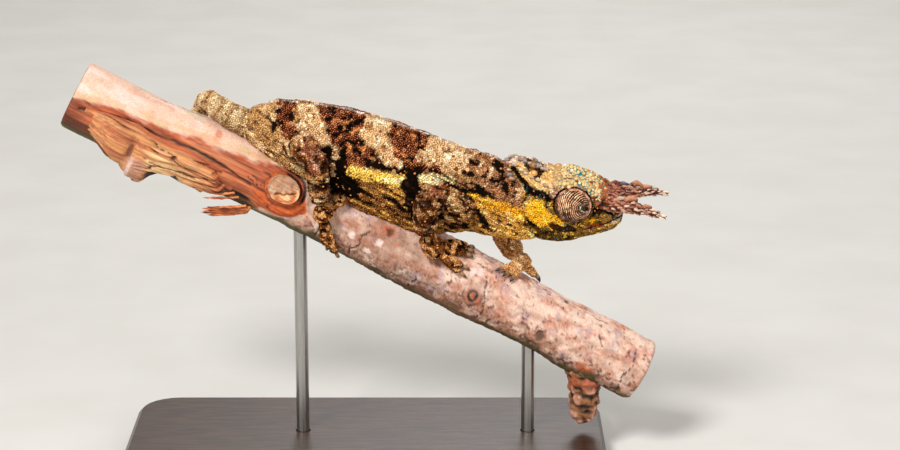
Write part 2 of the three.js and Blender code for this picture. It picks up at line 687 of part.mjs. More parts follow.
function buildBody(perch, head, limbs) {
  addNode(branchFrame, "trunk", cut(trunkForm(0), perch, ...limbs), skinMaterial);
  addNode(branchFrame, "neck", cut(neckForm(), head, trunkForm(gap), perch, ...limbs), skinMaterial);
  const cuts = [0, 0.21, 0.5, 0.74, 1];
  const names = ["tail_base", "tail_middle", "tail_coil", "tail_tip"];
  names.forEach((name, i) => {
    const length = tailLength(cuts[i], cuts[i + 1], i === names.length - 1);
    addNode(branchFrame, name, cut(length, perch, trunkForm(gap), ...limbs), skinMaterial);
  });
}

const rodHoles = buildStand();
const perchGrown = buildPerch(rodHoles);
const headGrown = buildHead();
const limbsGrown = buildLegs(perchGrown);
buildBody(perchGrown, headGrown, limbsGrown);

export default part;
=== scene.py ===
# A two-horned chameleon, life size, on a cut length of branch held by a display stand.
# The frame is in metres. Sizes in this script are in millimetres, and become metres as meshes are made.

import math
import bpy
import bmesh
import numpy as np
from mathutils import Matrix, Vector
from mathutils.bvhtree import BVHTree


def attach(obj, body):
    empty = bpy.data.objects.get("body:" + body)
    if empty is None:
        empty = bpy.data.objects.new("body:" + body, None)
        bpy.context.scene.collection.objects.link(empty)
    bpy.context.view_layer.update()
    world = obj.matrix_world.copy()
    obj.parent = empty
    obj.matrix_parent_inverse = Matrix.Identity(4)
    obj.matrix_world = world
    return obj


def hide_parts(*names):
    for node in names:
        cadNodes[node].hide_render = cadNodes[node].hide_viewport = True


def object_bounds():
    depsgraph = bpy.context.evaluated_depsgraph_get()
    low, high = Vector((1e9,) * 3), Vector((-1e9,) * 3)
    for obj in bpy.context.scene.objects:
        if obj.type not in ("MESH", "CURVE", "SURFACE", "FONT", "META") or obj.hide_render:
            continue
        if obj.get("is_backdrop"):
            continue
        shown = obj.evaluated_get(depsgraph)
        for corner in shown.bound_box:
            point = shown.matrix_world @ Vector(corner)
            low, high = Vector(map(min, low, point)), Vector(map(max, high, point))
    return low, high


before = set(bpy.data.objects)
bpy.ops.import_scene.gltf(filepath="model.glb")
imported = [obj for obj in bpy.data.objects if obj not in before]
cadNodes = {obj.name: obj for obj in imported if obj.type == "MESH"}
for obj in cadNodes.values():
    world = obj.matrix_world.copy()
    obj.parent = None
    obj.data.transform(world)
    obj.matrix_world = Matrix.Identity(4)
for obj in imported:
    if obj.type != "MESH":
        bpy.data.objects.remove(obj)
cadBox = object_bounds()
toMetres = 0.001


# A frame of reference inside the part: its origin in millimetres, and its axes as the columns of a matrix.
class Place:
    def __init__(self, origin, axes):
        self.origin = np.array(origin, float)
        self.axes = np.array(axes, float)

    def inside(self, points):  # the part's frame to this one
        return (np.asarray(points) - self.origin) @ self.axes

    def outside(self, points):
        return np.asarray(points) @ self.axes.T + self.origin


def turnY(degrees):
    c, s = math.cos(math.radians(degrees)), math.sin(math.radians(degrees))
    return np.array([[c, 0, s], [0, 1, 0], [-s, 0, c]])


def turnX(degrees):
    c, s = math.cos(math.radians(degrees)), math.sin(math.radians(degrees))
    return np.array([[1, 0, 0], [0, c, -s], [0, s, c]])


stance = {
    "branchOrigin": (8.42, 0, 53.2),
    "branchSlope": 27.8,  # degrees down towards the head
    "animalLean": 15,  # degrees to its right, round the branch
    "headPlace": (29.5, 0, 35.9),  # between the eyes, in the branch's frame
    "headPitch": 15,
}

branchAxes = turnY(stance["branchSlope"]) @ turnX(stance["animalLean"])
branchPlace = Place(stance["branchOrigin"], branchAxes)
headPlace = Place(branchPlace.outside(stance["headPlace"]), branchAxes @ turnY(-stance["headPitch"]))


def linear(tone):  # "rrggbb" as the renderer's linear colour
    parts = [int(tone[i:i + 2], 16) / 255 for i in (0, 2, 4)]
    return np.array([p / 12.92 if p <= 0.04045 else ((p + 0.055) / 1.055) ** 2.4 for p in parts])


def shade(tone):
    return (*linear(tone), 1)


def smoothStep(value, low, high):
    share = np.clip((value - low) / (high - low), 0, 1)
    return share * share * (3 - 2 * share)


def hill(value, middle, width):  # a smooth rise of 1 round a middle value
    return np.exp(-((value - middle) / width) ** 2)


# Smooth noise from -1 to 1 at points in millimetres. size is a number, or one for each axis.
def cloud(points, size, seed, layers=2):
    total, weight = np.zeros(len(points)), 0
    for layer in range(layers):
        spots = points / (np.array(size) / 2 ** layer) + 17.3 * (seed + layer)
        cell = np.floor(spots).astype(np.int64)
        part = spots - cell
        part = part * part * (3 - 2 * part)
        value = np.zeros(len(points))
        for corner in range(8):
            offset = np.array([corner & 1, corner >> 1 & 1, corner >> 2 & 1])
            spot = cell + offset
            mixed = spot @ np.array([374761393, 668265263, 1440662683]) + seed * 974634777
            mixed = (mixed ^ (mixed >> 13)) * 1274126177
            chance = ((mixed ^ (mixed >> 16)) & 0xFFFF) / 65535
            value += chance * np.prod(np.where(offset, part, 1 - part), axis=1)
        total += (2 * value - 1) * 0.5 ** layer
        weight += 0.5 ** layer
    return total / weight * 1.4


def unit(vectors):  # one vector to a row
    return vectors / np.linalg.norm(vectors, axis=1)[:, None]


def turnsOf(count):  # round a circle, in radians
    return 2 * np.pi * np.arange(count) / count


def gridOf(rows, columns):  # every pair, as two flat lists
    return [grid.ravel() for grid in np.meshgrid(rows, columns, indexing="ij")]


def longAxis(points):
    return np.linalg.eigh(np.cov((points - points.mean(0)).T))[1][:, 2]


def nearLine(points, line):  # the distance from points to a line through a few places
    best = np.full(len(points), 1e9)
    for start, end in zip(line, line[1:] or line):
        start, way = np.array(start, float), np.array(end, float) - start
        share = np.clip((points - start) @ way / max(way @ way, 1e-9), 0, 1)
        best = np.minimum(best, np.linalg.norm(points - start - share[:, None] * way, axis=1))
    return best


# A node tree, written one node at a time.
class Graph:
    def __init__(self, tree):
        self.tree = tree

    def add(self, kind, settings=None, inputs=None, out=0):
        node = self.tree.nodes.new(kind)
        for name, value in (settings or {}).items():
            setattr(node, name, value)
        for name, value in (inputs or {}).items():
            self.feed(node.inputs[name], value)
        return Wire(self, node, node.outputs[out])

    def vectors(self, operation, first, second, socket=1):
        return self.add("ShaderNodeVectorMath", {"operation": operation}, {0: first, socket: second})

    def feed(self, socket, value):
        if isinstance(value, Wire):
            self.tree.links.new(value.socket, socket)
        else:
            socket.default_value = value


# One output socket of a node. Arithmetic with wires adds their Math nodes.
class Wire:
    def __init__(self, graph, node, socket):
        self.graph, self.node, self.socket = graph, node, socket

    def also(self, name):  # another output of the same node
        return Wire(self.graph, self.node, self.node.outputs[name])

    def maths(self, operation, first, second):
        return self.graph.add("ShaderNodeMath", {"operation": operation}, {0: first, 1: second})

    def __add__(self, other):
        return self.maths("ADD", self, other)

    def __rsub__(self, other):
        return self.maths("SUBTRACT", other, self)

    def __mul__(self, other):
        return self.maths("MULTIPLY", self, other)

    def __pow__(self, other):
        return self.maths("POWER", self, other)


# A material: its node tree, its shader, and short words for the nodes that most finishes use.
class Paint(Graph):
    def __init__(self, name, **surface):
        self.material = bpy.data.materials.new(name)
        self.material.use_nodes = True
        super().__init__(self.material.node_tree)
        self.tree.nodes.clear()
        self.shader = self.tree.nodes.new("ShaderNodeBsdfPrincipled")
        output = self.tree.nodes.new("ShaderNodeOutputMaterial")
        self.tree.links.new(self.shader.outputs[0], output.inputs[0])
        self.place = self.add("ShaderNodeTexCoord", out="Object")
        self.surface(**surface)

    def surface(self, **surface):  # such as Roughness=0.5, with _ for a space
        for name, value in surface.items():
            self.feed(self.shader.inputs[name.replace("_", " ")], value)
        return self

    def read(self, name, out="Fac"):
        return self.add("ShaderNodeAttribute", {"attribute_name": name}, out=out)

    def noise(self, perMetre, detail=3, place=None, stretch=None):
        where = place or self.place
        if stretch:
            where = self.vectors("MULTIPLY", where, stretch)
        return self.add("ShaderNodeTexNoise", None, {"Vector": where, "Scale": perMetre, "Detail": detail})

    def step(self, value, low, high):
        return self.add(
            "ShaderNodeMapRange", {"interpolation_type": "SMOOTHSTEP"},
            {"Value": value, "From Min": low, "From Max": high})

    def blend(self, factor, first, second, mode="MIX"):
        settings = {"data_type": "RGBA", "blend_type": mode}
        return self.add("ShaderNodeMix", settings, {0: factor, 6: first, 7: second}, out=2)

    def darken(self, colour, amount):  # amount is 0 for black and 1 for unchanged
        grey = self.add("ShaderNodeCombineColor", None, {0: amount, 1: amount, 2: amount})
        return self.blend(1, colour, grey, "MULTIPLY")

    def bump(self, height, depth, strength=1):
        sockets = {"Height": height, "Distance": depth * toMetres, "Strength": strength}
        return self.add("ShaderNodeBump", None, sockets)


def addPiece(name, mesh, material=None):
    piece = bpy.data.objects.new(name, mesh)
    bpy.context.scene.collection.objects.link(piece)
    if material:
        mesh.materials.clear()
        mesh.materials.append(material)
    return piece


def meshOf(name, points, faces):  # points in millimetres
    mesh = bpy.data.meshes.new(name)
    mesh.from_pydata([tuple(p) for p in np.asarray(points) * toMetres], [], faces)
    mesh.shade_smooth()
    return mesh


def pointsOf(mesh):
    flat = np.empty(len(mesh.vertices) * 3)
    mesh.vertices.foreach_get("co", flat)
    return flat.reshape(-1, 3) / toMetres


def setPoints(mesh, points):
    mesh.vertices.foreach_set("co", (points * toMetres).ravel())
    mesh.update()


def normalsOf(mesh):
    flat = np.empty(len(mesh.vertices) * 3, np.float32)
    mesh.vertex_normals.foreach_get("vector", flat)
    return flat.reshape(-1, 3).astype(float)


def push(mesh, distances):  # moves each vertex along its normal, in millimetres
    setPoints(mesh, pointsOf(mesh) + normalsOf(mesh) * distances[:, None])


# Evens a mesh out without shrinking it. hold is 1 where the shape stays as it is.
def even(mesh, rounds, hold):
    points = pointsOf(mesh)
    edges = np.empty(len(mesh.edges) * 2, np.int32)
    mesh.edges.foreach_get("vertices", edges)
    here = np.concatenate([edges[0::2], edges[1::2]])
    there = np.concatenate([edges[1::2], edges[0::2]])
    count = np.bincount(here, minlength=len(points))[:, None]
    for i in range(2 * rounds):
        mean = np.stack([np.bincount(here, points[there, k], len(points)) for k in range(3)], 1) / count
        pull = 0.5 if i % 2 == 0 else -0.52
        points += (mean - points) * pull * (1 - hold[:, None])
    setPoints(mesh, points)


def setNumbers(mesh, name, values):
    mesh.attributes.new(name, "FLOAT", "POINT").data.foreach_set("value", np.asarray(values, np.float32))


def setColours(mesh, name, values):
    full = np.ones((len(values), 4), np.float32)
    full[:, :3] = np.clip(values, 0, 1)
    mesh.attributes.new(name, "FLOAT_COLOR", "POINT").data.foreach_set("color", full.ravel())


def setVectors(mesh, name, values):
    flat = np.asarray(values, np.float32).ravel()
    mesh.attributes.new(name, "FLOAT_VECTOR", "POINT").data.foreach_set("vector", flat)


def bmeshOf(node):  # a merged copy of a CAD node's mesh
    copy = bmesh.new()
    copy.from_mesh(cadNodes[node].data)
    bmesh.ops.remove_doubles(copy, verts=copy.verts, dist=0.002 * toMetres)
    copy.normal_update()
    return copy


def evaluated(host):  # the plain mesh that an object's modifiers make
    bpy.context.view_layer.update()
    return bpy.data.meshes.new_from_object(host.evaluated_get(bpy.context.evaluated_depsgraph_get()))


# Copies of CAD nodes, puffed up until they touch and turned into one even mesh.
def remeshed(name, nodes, puff, voxel):
    whole = bmesh.new()
    for node in nodes:
        copy = bmeshOf(node)
        for vertex in copy.verts:
            vertex.co += vertex.normal * puff * toMetres
        part = bpy.data.meshes.new(node)
        copy.to_mesh(part)
        whole.from_mesh(part)
        copy.free()
        bpy.data.meshes.remove(part)
    rough = bpy.data.meshes.new(name + "Rough")
    whole.to_mesh(rough)
    whole.free()
    host = addPiece(name + "Rough", rough)
    remesh = host.modifiers.new("even", "REMESH")
    remesh.mode, remesh.voxel_size, remesh.adaptivity = "VOXEL", voxel * toMetres, 0
    mesh = evaluated(host)
    bpy.data.objects.remove(host)
    mesh.name = name
    mesh.shade_smooth()
    return mesh


def unwrap(piece, gap=0.002):
    bpy.context.view_layer.objects.active = piece
    piece.select_set(True)
    piece.data.uv_layers.new(name="OFBake")
    bpy.ops.object.mode_set(mode="EDIT")
    bpy.ops.mesh.select_all(action="SELECT")
    bpy.ops.uv.smart_project(angle_limit=math.radians(66), island_margin=gap)
    bpy.ops.object.mode_set(mode="OBJECT")
    piece.select_set(False)


# Sweeps rings of points along a path. radii gives each ring's half widths, across and up.
def loft(path, radii, sides, up, cap=0.3):
    path, radii = np.array(path, float), np.array(radii, float).reshape(len(path), -1)
    ways = unit(np.gradient(path, axis=0))
    across = unit(np.cross(ways, up))
    over = np.cross(across, ways)
    turns = turnsOf(sides)
    ring = across[:, None] * np.cos(turns)[:, None] * radii[:, None, :1]
    ring = ring + over[:, None] * np.sin(turns)[:, None] * radii[:, None, -1:]
    ends = [path[0] - ways[0] * radii[0, 0] * cap, path[-1] + ways[-1] * radii[-1, 0] * cap]
    return np.vstack([(path[:, None] + ring).reshape(-1, 3), ends]), tubeFaces(len(path), sides)


def tubeFaces(rows, sides):  # a closed tube, whose last two points close its ends
    faces = []
    for row in range(rows - 1):
        for i in range(sides):
            a, b = row * sides + i, row * sides + (i + 1) % sides
            faces.append((a, a + sides, b + sides, b))
    first, last = rows * sides, rows * sides + 1
    top = (rows - 1) * sides
    faces += [(i, (i + 1) % sides, first) for i in range(sides)]
    faces += [(top + (i + 1) % sides, top + i, last) for i in range(sides)]
    return faces


def joinedForm(forms):  # several (points, faces) pairs as one
    points, faces, count = [], [], 0
    for own, around in forms:
        points.append(own)
        faces += [tuple(i + count for i in face) for face in around]
        count += len(own)
    return np.vstack(points), faces


# The flesh, from snout to tail tip.

limbs = [side + part for side in ("left_", "right_") for part in ("upper_arm", "forearm", "thigh", "shin")]
feet = [side + part for side in ("left_", "right_") for part in ("forefoot", "hind_foot")]
headNodes = ["head", "lower_jaw"]
bodyNodes = ["trunk", "neck"]
tailNodes = ["tail_base", "tail_middle", "tail_coil", "tail_tip"]
fleshNodes = headNodes + bodyNodes + tailNodes + limbs + feet

flesh = {
    "puff": 0.17,  # closes the gaps between neighbouring solids
    "voxel": 0.34,
    "coatDepth": 0.2,  # how far the skin lies inside the solids
    "thinCoat": 0.06,  # the same on the feet
    "deepest": 0.33,  # the most of its own depth that the flesh is pushed in
    "evenRounds": 60,
    "hold": {"head": 0.3, "feet": 0.82, "limbs": 0.2, "coil": 0.3},
}

eyes = {
    "out": 4.7,
    "drop": 1.2,
    "turret": 4.12,  # radius
    "ball": 2.3,  # radius
    "ballDepth": 0.3,
    "ballRings": (2, 10, 18, 26, 34, 44, 55, 70, 90, 115, 140, 165),  # degrees from the middle of the iris
    "gaze": {-1: (0.77, -0.6, 0.19), 1: (0.45, 0.88, 0.12)},
}

# In the head's frame: x to the snout, z up.
mouthLine = [(12.9, -2.7), (10.7, -3.6), (8.7, -5.0), (5.5, -6.8), (1.7, -8.4), (-1.2, -9.3), (-4.6, -10.4)]
templeBand = [(-15.4, 2.6), (-13.2, 0.7), (-10.6, -0.3), (-5.6, -0.9)]
nostril = (7.9, -0.8)
headFolds = [  # lines in the head's frame, and how far each rises
    ([(-10.4, -7.6), (-8.2, -8.8), (-6.0, -9.8)], -0.4),
    ([(-12.0, -2.6), (-11.4, -6.0)], -0.25),
    ([(6.2, -5.2), (9.0, -4.0), (11.2, -2.4)], -0.22),
    ([(4.2, 1.6), (7.6, 1.0), (10.0, 0.6)], 0.3),
]
casqueEdge = [(-16.6, 4.2), (-13, 3.2), (-9, 2.0), (-5.5, 1.4)]
casqueTop = [(-16.8, 4.9), (-12, 4.7), (-7, 3.9)]
jawKeel = [(-8, -13.2), (-4, -13.0), (1, -11.6), (5, -10.0), (9, -8.0), (12, -5.6)]
throatKeel = [(-19, -15.4), (-12.6, -14.2), (-7, -12.9)]


def eyeCentre(side):
    return np.array([0, side * eyes["out"], -eyes["drop"]])


# Which CAD node each point of the skin belongs to.
def nearestNode(points):
    whole, owners = bmesh.new(), []
    for i, node in enumerate(fleshNodes):
        before = len(whole.faces)
        whole.from_mesh(cadNodes[node].data)
        owners += [i] * (len(whole.faces) - before)
    tree = BVHTree.FromBMesh(whole)
    whole.free()
    return np.array([owners[tree.find_nearest(Vector(p * toMetres))[2]] for p in points])


def isOneOf(owner, nodes):
    return np.isin(owner, [fleshNodes.index(node) for node in nodes])


def sculptHead(points, onHead):
    head = headPlace.inside(points)
    profile = head[:, [0, 2]]
    bent = profile + 0.3 * np.stack([cloud(points, 1.4, 4), cloud(points, 1.4, 5)], 1)
    mouth = nearLine(bent, mouthLine)
    lift = 0.14 * hill(mouth, 0.8, 0.35) - 0.34 * hill(mouth, 0, 0.22)
    lift -= 0.5 * hill(nearLine(bent, templeBand), 0, 0.7)
    lift += 0.45 * hill(nearLine(bent, casqueEdge), 0, 0.55)
    lift += 0.4 * hill(nearLine(profile, casqueTop), 0, 0.6) * hill(head[:, 1], 0, 0.9)
    keel = (0.85 + 0.45 * smoothStep(head[:, 0], -9, -4)) * (1 - 0.65 * smoothStep(head[:, 0], 0, 6))
    lift += keel * hill(nearLine(profile, jawKeel), 0, 1.5)  # evening drew the narrow jaw in
    lift -= 0.7 * hill(np.linalg.norm(profile - nostril, axis=1), 0, 0.5)
    for line, depth in headFolds:
        lift += depth * hill(nearLine(bent, line), 0, 0.32)
    for side in (-1, 1):
        fromEye = np.linalg.norm(head - eyeCentre(side), axis=1) - eyes["turret"]
        lift += 0.2 * hill(fromEye, 1.75, 0.4) - 0.3 * hill(fromEye, 1.25, 0.3)
    lift += 0.14 * cloud(points, 1.6, 3) + 0.08 * cloud(points, 0.7, 6)
    return lift * onHead


def sculptBody(points, owner):
    body = branchPlace.inside(points)
    neck = hill(body[:, 0], 8, 11) * smoothStep(body[:, 2], 18, 23) * isOneOf(owner, bodyNodes)
    lift = 0.5 * neck * cloud(body, (6, 2.2, 0.9), 11, 2)
    lift += 0.16 * cloud(body, 3.2, 12) + 0.12 * cloud(body, 1.3, 13) + 0.07 * cloud(body, 0.7, 17)
    ribs = np.sin((body[:, 0] + 0.35 * body[:, 2]) * 2 * math.pi / 3.6 + 0.8 * cloud(body, 5, 14))
    flank = isOneOf(owner, ["trunk"]) * hill(body[:, 0], -13, 11) * smoothStep(body[:, 2], 8, 14)
    lift += 0.09 * ribs * flank * (1 - smoothStep(body[:, 2], 24, 28))
    profile = headPlace.inside(points)[:, [0, 2]]
    lift += 0.85 * hill(nearLine(profile, throatKeel), 0, 1.6) * isOneOf(owner, bodyNodes)
    belly = isOneOf(owner, ["trunk"]) * (1 - smoothStep(body[:, 2], 12, 18))
    lift += 0.35 * cloud(body, (5, 2, 0.9), 15) * belly
    limb = isOneOf(owner, limbs)
    creases = 0.1 * cloud(body, 1.1, 16) + 0.1 * cloud(body, (2.5, 2.5, 0.7), 18)
    return lift * (1 - 0.5 * limb) + creases * limb


# How deep the flesh is under each point of a skin, up to a limit. It keeps thin parts from turning
# inside out.
def fleshDepth(mesh, most=2.0, clear=0.02):
    tree = BVHTree.FromPolygons([v.co for v in mesh.vertices], [face.vertices for face in mesh.polygons])
    depths = np.full(len(mesh.vertices), most)
    for i, vertex in enumerate(mesh.vertices):
        start = vertex.co - vertex.normal * clear * toMetres
        far = tree.ray_cast(start, -vertex.normal, most * toMetres)[3]
        if far is not None:
            depths[i] = far / toMetres
    ends = np.zeros(2 * len(mesh.edges), np.int32)
    mesh.edges.foreach_get("vertices", ends)
    near = depths.copy()
    np.minimum.at(near, ends[::2], depths[ends[1::2]])
    np.minimum.at(near, ends[1::2], depths[ends[::2]])
    return near


def buildSkinMesh():
    mesh = remeshed("skin", fleshNodes, flesh["puff"], flesh["voxel"])
    owner = nearestNode(pointsOf(mesh))
    hold = np.zeros(len(owner))
    for nodes, key in ((headNodes, "head"), (feet, "feet"), (limbs, "limbs"), (tailNodes[2:], "coil")):
        hold[isOneOf(owner, nodes)] = flesh["hold"][key]
    even(mesh, flesh["evenRounds"], hold)
    points = pointsOf(mesh)
    onHead = isOneOf(owner, headNodes)
    onFeet = isOneOf(owner, feet)
    lift = sculptHead(points, onHead) + sculptBody(points, owner) * ~onHead * (1 - 0.6 * onFeet)
    inward = flesh["puff"] + np.where(onFeet, flesh["thinCoat"], flesh["coatDepth"])
    push(mesh, np.maximum(lift - inward, -flesh["deepest"] * fleshDepth(mesh)))
    return mesh, owner


# The markings, with some strokes of painted shade among them. Each is a brush stroke along a line, in
# millimetres in the branch's or the head's frame,
# and shows one of these cloths: a ground with dark and light flecks.
cloths = {  # ground, dark, light, share of dark, share of light
    "tan": ("bf8c54", "4a2810", "f0cc94", 0.5, 0.55),
    "tail": ("cca270", "8e6434", "f0d6a4", 0.42, 0.5),
    "cream": ("dfb07c", "905828", "ffe6bc", 0.42, 0.6),
    "saddle": ("642608", "0a0301", "d8884c", 0.84, 0.42),
    # dark and groin are near-black: besides dark markings, some strokes paint shade with them.
    "dark": ("180b04", "060201", "74441e", 0.5, 0.38),
    "groin": ("100702", "050201", "54301a", 0.5, 0.3),
    "plum": ("aa7248", "1a0b04", "f8cc9c", 0.62, 0.68),
    "yellow": ("f8c858", "b07820", "fff0a8", 0.36, 0.58),
    "pale": ("fee29c", "d8aa60", "fff8d4", 0.14, 0.5),
    "amber": ("d89a40", "3a2006", "ffdc84", 0.58, 0.6),
    "orange": ("f0a41c", "a45e0e", "ffd458", 0.35, 0.5),
    "belly": ("80501a", "0a0501", "f8b858", 0.84, 0.62),
    "throat": ("b8803a", "281604", "ffc878", 0.66, 0.56),
    "arm": ("6c3612", "0a0401", "eab07a", 0.9, 0.54),
    "armPale": ("bc8650", "241204", "ffe0a8", 0.56, 0.62),
    "softArm": ("d69c62", "8a5a2c", "fcd8a6", 0.4, 0.55),
    "pinkTop": ("8e5236", "301206", "e4ac88", 0.66, 0.56),
    "foot": ("84481c", "0c0401", "ecac6c", 0.88, 0.58),
    "casque": ("eebe72", "a86c34", "fff0b4", 0.3, 0.6),
    "brow": ("dcba7e", "ac7c50", "f6e8be", 0.36, 0.5),
    "browPink": ("d0a080", "966a4e", "f2d6bc", 0.4, 0.45),
    "lore": ("44220e", "0e0602", "8c5630", 0.74, 0.34),
    "jaw": ("8a6420", "1c1303", "ecb848", 0.72, 0.52),
    "cheek": ("ffb828", "d4861c", "ffde54", 0.2, 0.5),
    "ash": ("b8a090", "6a5444", "eaded0", 0.45, 0.5),
    "snout": ("ae6030", "54240c", "eab07c", 0.6, 0.5),
    "rustRed": ("8e3a18", "220c03", "d0744a", 0.5, 0.4),
}

tones = {
    "teal": "2e7f86", "dark": "140a04", "brownRing": "7e5430", "paleRing": "f2dcb2", "rust": "a4502a",
    "pink": "d9a084", "ash": "a99a8e", "slate": "5a5468", "turretBrown": "824e2c", "turretPeach": "e2a072",
    "turretCream": "ffe4b4", "hornBrown": "9c5630", "hornPink": "cc8258", "hornRed": "84341a",
    "hornPale": "f4d4ba",
}

bodyMarks = [  # cloth, half width, ragged edge, line in the branch's frame
    ("cream", 2.6, 1.4, [(-36.2, 24.4), (-33.6, 21.6), (-29.4, 19.6), (-25.4, 16.8)]),
    ("cream", 1.5, 1.6, [(-36.0, 19.0), (-33.0, 16.6)]),
    ("saddle", 2.0, 1.6, [(-40.8, 21.4), (-39.2, 18.4), (-36.6, 16.8)]),
    ("saddle", 1.0, 1.6, [(-38.6, 17.4), (-35.8, 15.0)]),
    ("dark", 0.5, 0.9, [(-43.5, 17.6), (-41.6, 17.0), (-41.0, 15.4)]),
    ("saddle", 3.0, 0.9, [(-31.4, 26.2), (-28, 26.4), (-25.0, 26.8)]),
    ("saddle", 2.8, 1.1, [(-27, 23.2), (-22.6, 22.6), (-19.2, 21.6), (-21.4, 19.2)]),
    ("cream", 3.0, 1.2, [(-20.6, 29.6), (-20.0, 27.0)]),
    ("cream", 2.0, 1.4, [(-17.8, 25.8), (-14.6, 24.8), (-11.6, 23.6)]),
    ("saddle", 3.4, 0.9, [(-13.4, 30.2), (-10.0, 30.0)]),
    ("saddle", 2.7, 1.2, [(-11.8, 27.4), (-7, 26.2), (-3.4, 25.6)]),
    ("dark", 1.0, 2.0, [(-17.5, 21.0), (-10, 22.2), (-4, 23.9), (2.5, 26.6), (9, 27.4)]),
    ("cream", 2.3, 1.4, [(-5.2, 30.4), (0, 30.0), (3.2, 30.4)]),
    ("cream", 1.0, 1.4, [(-7.2, 27.6), (-2.5, 28.2), (0.6, 27.6)]),
    ("plum", 2.8, 1.6, [(5.5, 31.5), (11, 32.5), (15.5, 32.0)]),
    ("dark", 0.6, 1.6, [(4, 29), (9, 29.6), (13.5, 31)]),
    ("dark", 0.9, 1.2, [(9.5, 33.5), (13, 31.5), (15, 29.0)]),
    ("plum", 2.0, 2.0, [(2.0, 25.0), (8.0, 25.6), (14.0, 27.0)]),
    # The two groin strokes that follow are painted shade where the hind thigh meets the belly.
    ("groin", 3.1, 1.4, [(-26, 17.6), (-22.6, 14.6), (-18.6, 11.6)]),
    ("groin", 2.6, 1.4, [(-27.5, 12), (-22, 9.5)]),
    ("cream", 0.85, 0.8, [(-26.2, 19.8), (-25.2, 18.2)]),
    ("cream", 0.6, 0.8, [(-25.0, 15.6), (-23.6, 13.2)]),
    ("yellow", 1.5, 0.9, [(-20.4, 16.6), (-14, 18.6), (-9.0, 20.3)]),
    ("pale", 0.8, 0.6, [(-12.0, 19.0), (-7.4, 20.7)]),
    ("pale", 1.1, 0.6, [(-4.4, 23.4), (-1.4, 24.8), (1.8, 25.8)]),
    # Painted shadow on the trunk beside the near forearm.
    ("groin", 2.4, 1.4, [(-6.0, 20.4), (-4.4, 18.4), (-1.6, 14.6)]),
    ("amber", 2.4, 1.8, [(8.5, 24.0), (13.5, 24.8), (19, 25.6), (25, 26.8)]),
    ("orange", 1.0, 1.6, [(7.5, 25.0), (13.5, 25.4), (18, 25.6), (23, 26.4)]),
    ("dark", 0.7, 1.8, [(8.5, 22.0), (12.5, 20.6), (16.5, 18.4)]),
    # Painted shadow under the chest.
    ("dark", 1.0, 1.4, [(3.4, 16.4), (6.4, 14.8), (10.4, 15.6)]),
]

headMarks = [
    ("cheek", 2.0, 1.1, [(-8.4, -4.4), (-5.8, -5.8), (-2.4, -7.4)]),
    ("cheek", 1.3, 1.6, [(-9.4, -6.4), (-6.0, -7.6)]),
    ("lore", 0.9, 1.0, [(-3.6, -7.6), (-1.6, -8.2), (1.4, -7.6)]),
    ("casque", 3.4, 0.6, [(-15.0, 4.4), (-13.0, 2.8), (-9, 2.6), (-5.8, 2.4)]),
    ("ash", 0.5, 0.7, [(-16.8, 4.8), (-12, 4.9), (-7.5, 4.4)]),
    ("lore", 0.75, 0.9, [(-12.3, 4.2), (-9.4, 3.6)]),
    ("groin", 0.2, 0.9, [(-12.0, 4.3), (-9.8, 3.7)]),
    ("browPink", 1.2, 0.8, [(-5.2, 4.4), (-4.3, 1.8), (-4.7, 0.0)]),
    ("brow", 2.6, 0.6, [(-3.2, 4.0), (1, 4.2), (5, 3.4), (8.6, 2.0)]),
    ("snout", 2.0, 1.8, [(7.4, 4.0), (8.4, 1.2)]),
    # Painted shade below the casque's side crest, along the sculpted temple groove.
    ("groin", 0.95, 0.9, templeBand),
    ("groin", 0.9, 0.9, [(4.8, -2.0), (7.6, -1.2), (10.0, -1.6)]),
    ("rustRed", 1.0, 0.8, [(6.6, 0.2), (9.4, 0.4)]),
    ("cheek", 0.5, 0.8, [(4.2, -5.0), (7.6, -3.8)]),
    ("rustRed", 0.6, 0.9, [(5.0, -6.4), (8.0, -5.2)]),
    ("dark", 0.18, 0.9, [(-10.4, -7.6), (-8.2, -8.8), (-6.0, -9.8)]),
    ("ash", 0.75, 0.7, [(12.4, -2.4), (11.2, -3.6)]),
    ("dark", 0.14, 0.3, mouthLine),
]


def flecked(name, ruffles):  # a cloth with its flecks, for noises from -1 to 1
    ground, dark, light, low, high = cloths[name]
    colour = np.tile(linear(ground), (len(ruffles[0]), 1))
    for tone, ruffle, amount in ((dark, -ruffles[0], low), (light, ruffles[1], high)):
        share = smoothStep(ruffle, 0.62 - 0.75 * amount, 1.0 - 0.75 * amount)[:, None]
        colour = colour + (linear(tone) - colour) * share
    return colour


def stroke(colour, flat, marks, rough, ruffles):
    for cloth, half, ragged, line in marks:
        inside = half + 0.8 * ragged * rough - nearLine(flat, line)
        share = smoothStep(inside, -0.12, 0.12)[:, None]
        colour = colour + (flecked(cloth, ruffles) - colour) * share
    return colour


# Lays cloths over a colour, one after the other. A row is a cloth, a value, where the cloth starts and is
# full in that value, and how much of it shows.
def lay(colour, ruffles, *rows):
    for cloth, value, low, high, amount in rows:
        share = (smoothStep(value, low, high) * amount)[:, None]
        colour = colour + (flecked(cloth, ruffles) - colour) * share
    return colour


def mottle(colour, *rows, palette=tones):  # the same with plain tones
    if isinstance(colour, str):
        colour = np.tile(linear(colour), (len(rows[0][1]), 1))
    for tone, value, low, high, amount in rows:
        share = (smoothStep(value, low, high) * amount)[:, None]
        colour = colour + (linear(palette[tone]) - colour) * share
    return colour


# How far along its own longest direction each point of a limb lies, in millimetres.
def alongNode(points, node):
    own = pointsOf(cadNodes[node].data)
    axis = longAxis(own)
    return (points - own.mean(0)) @ (axis if axis[2] > 0 else -axis)


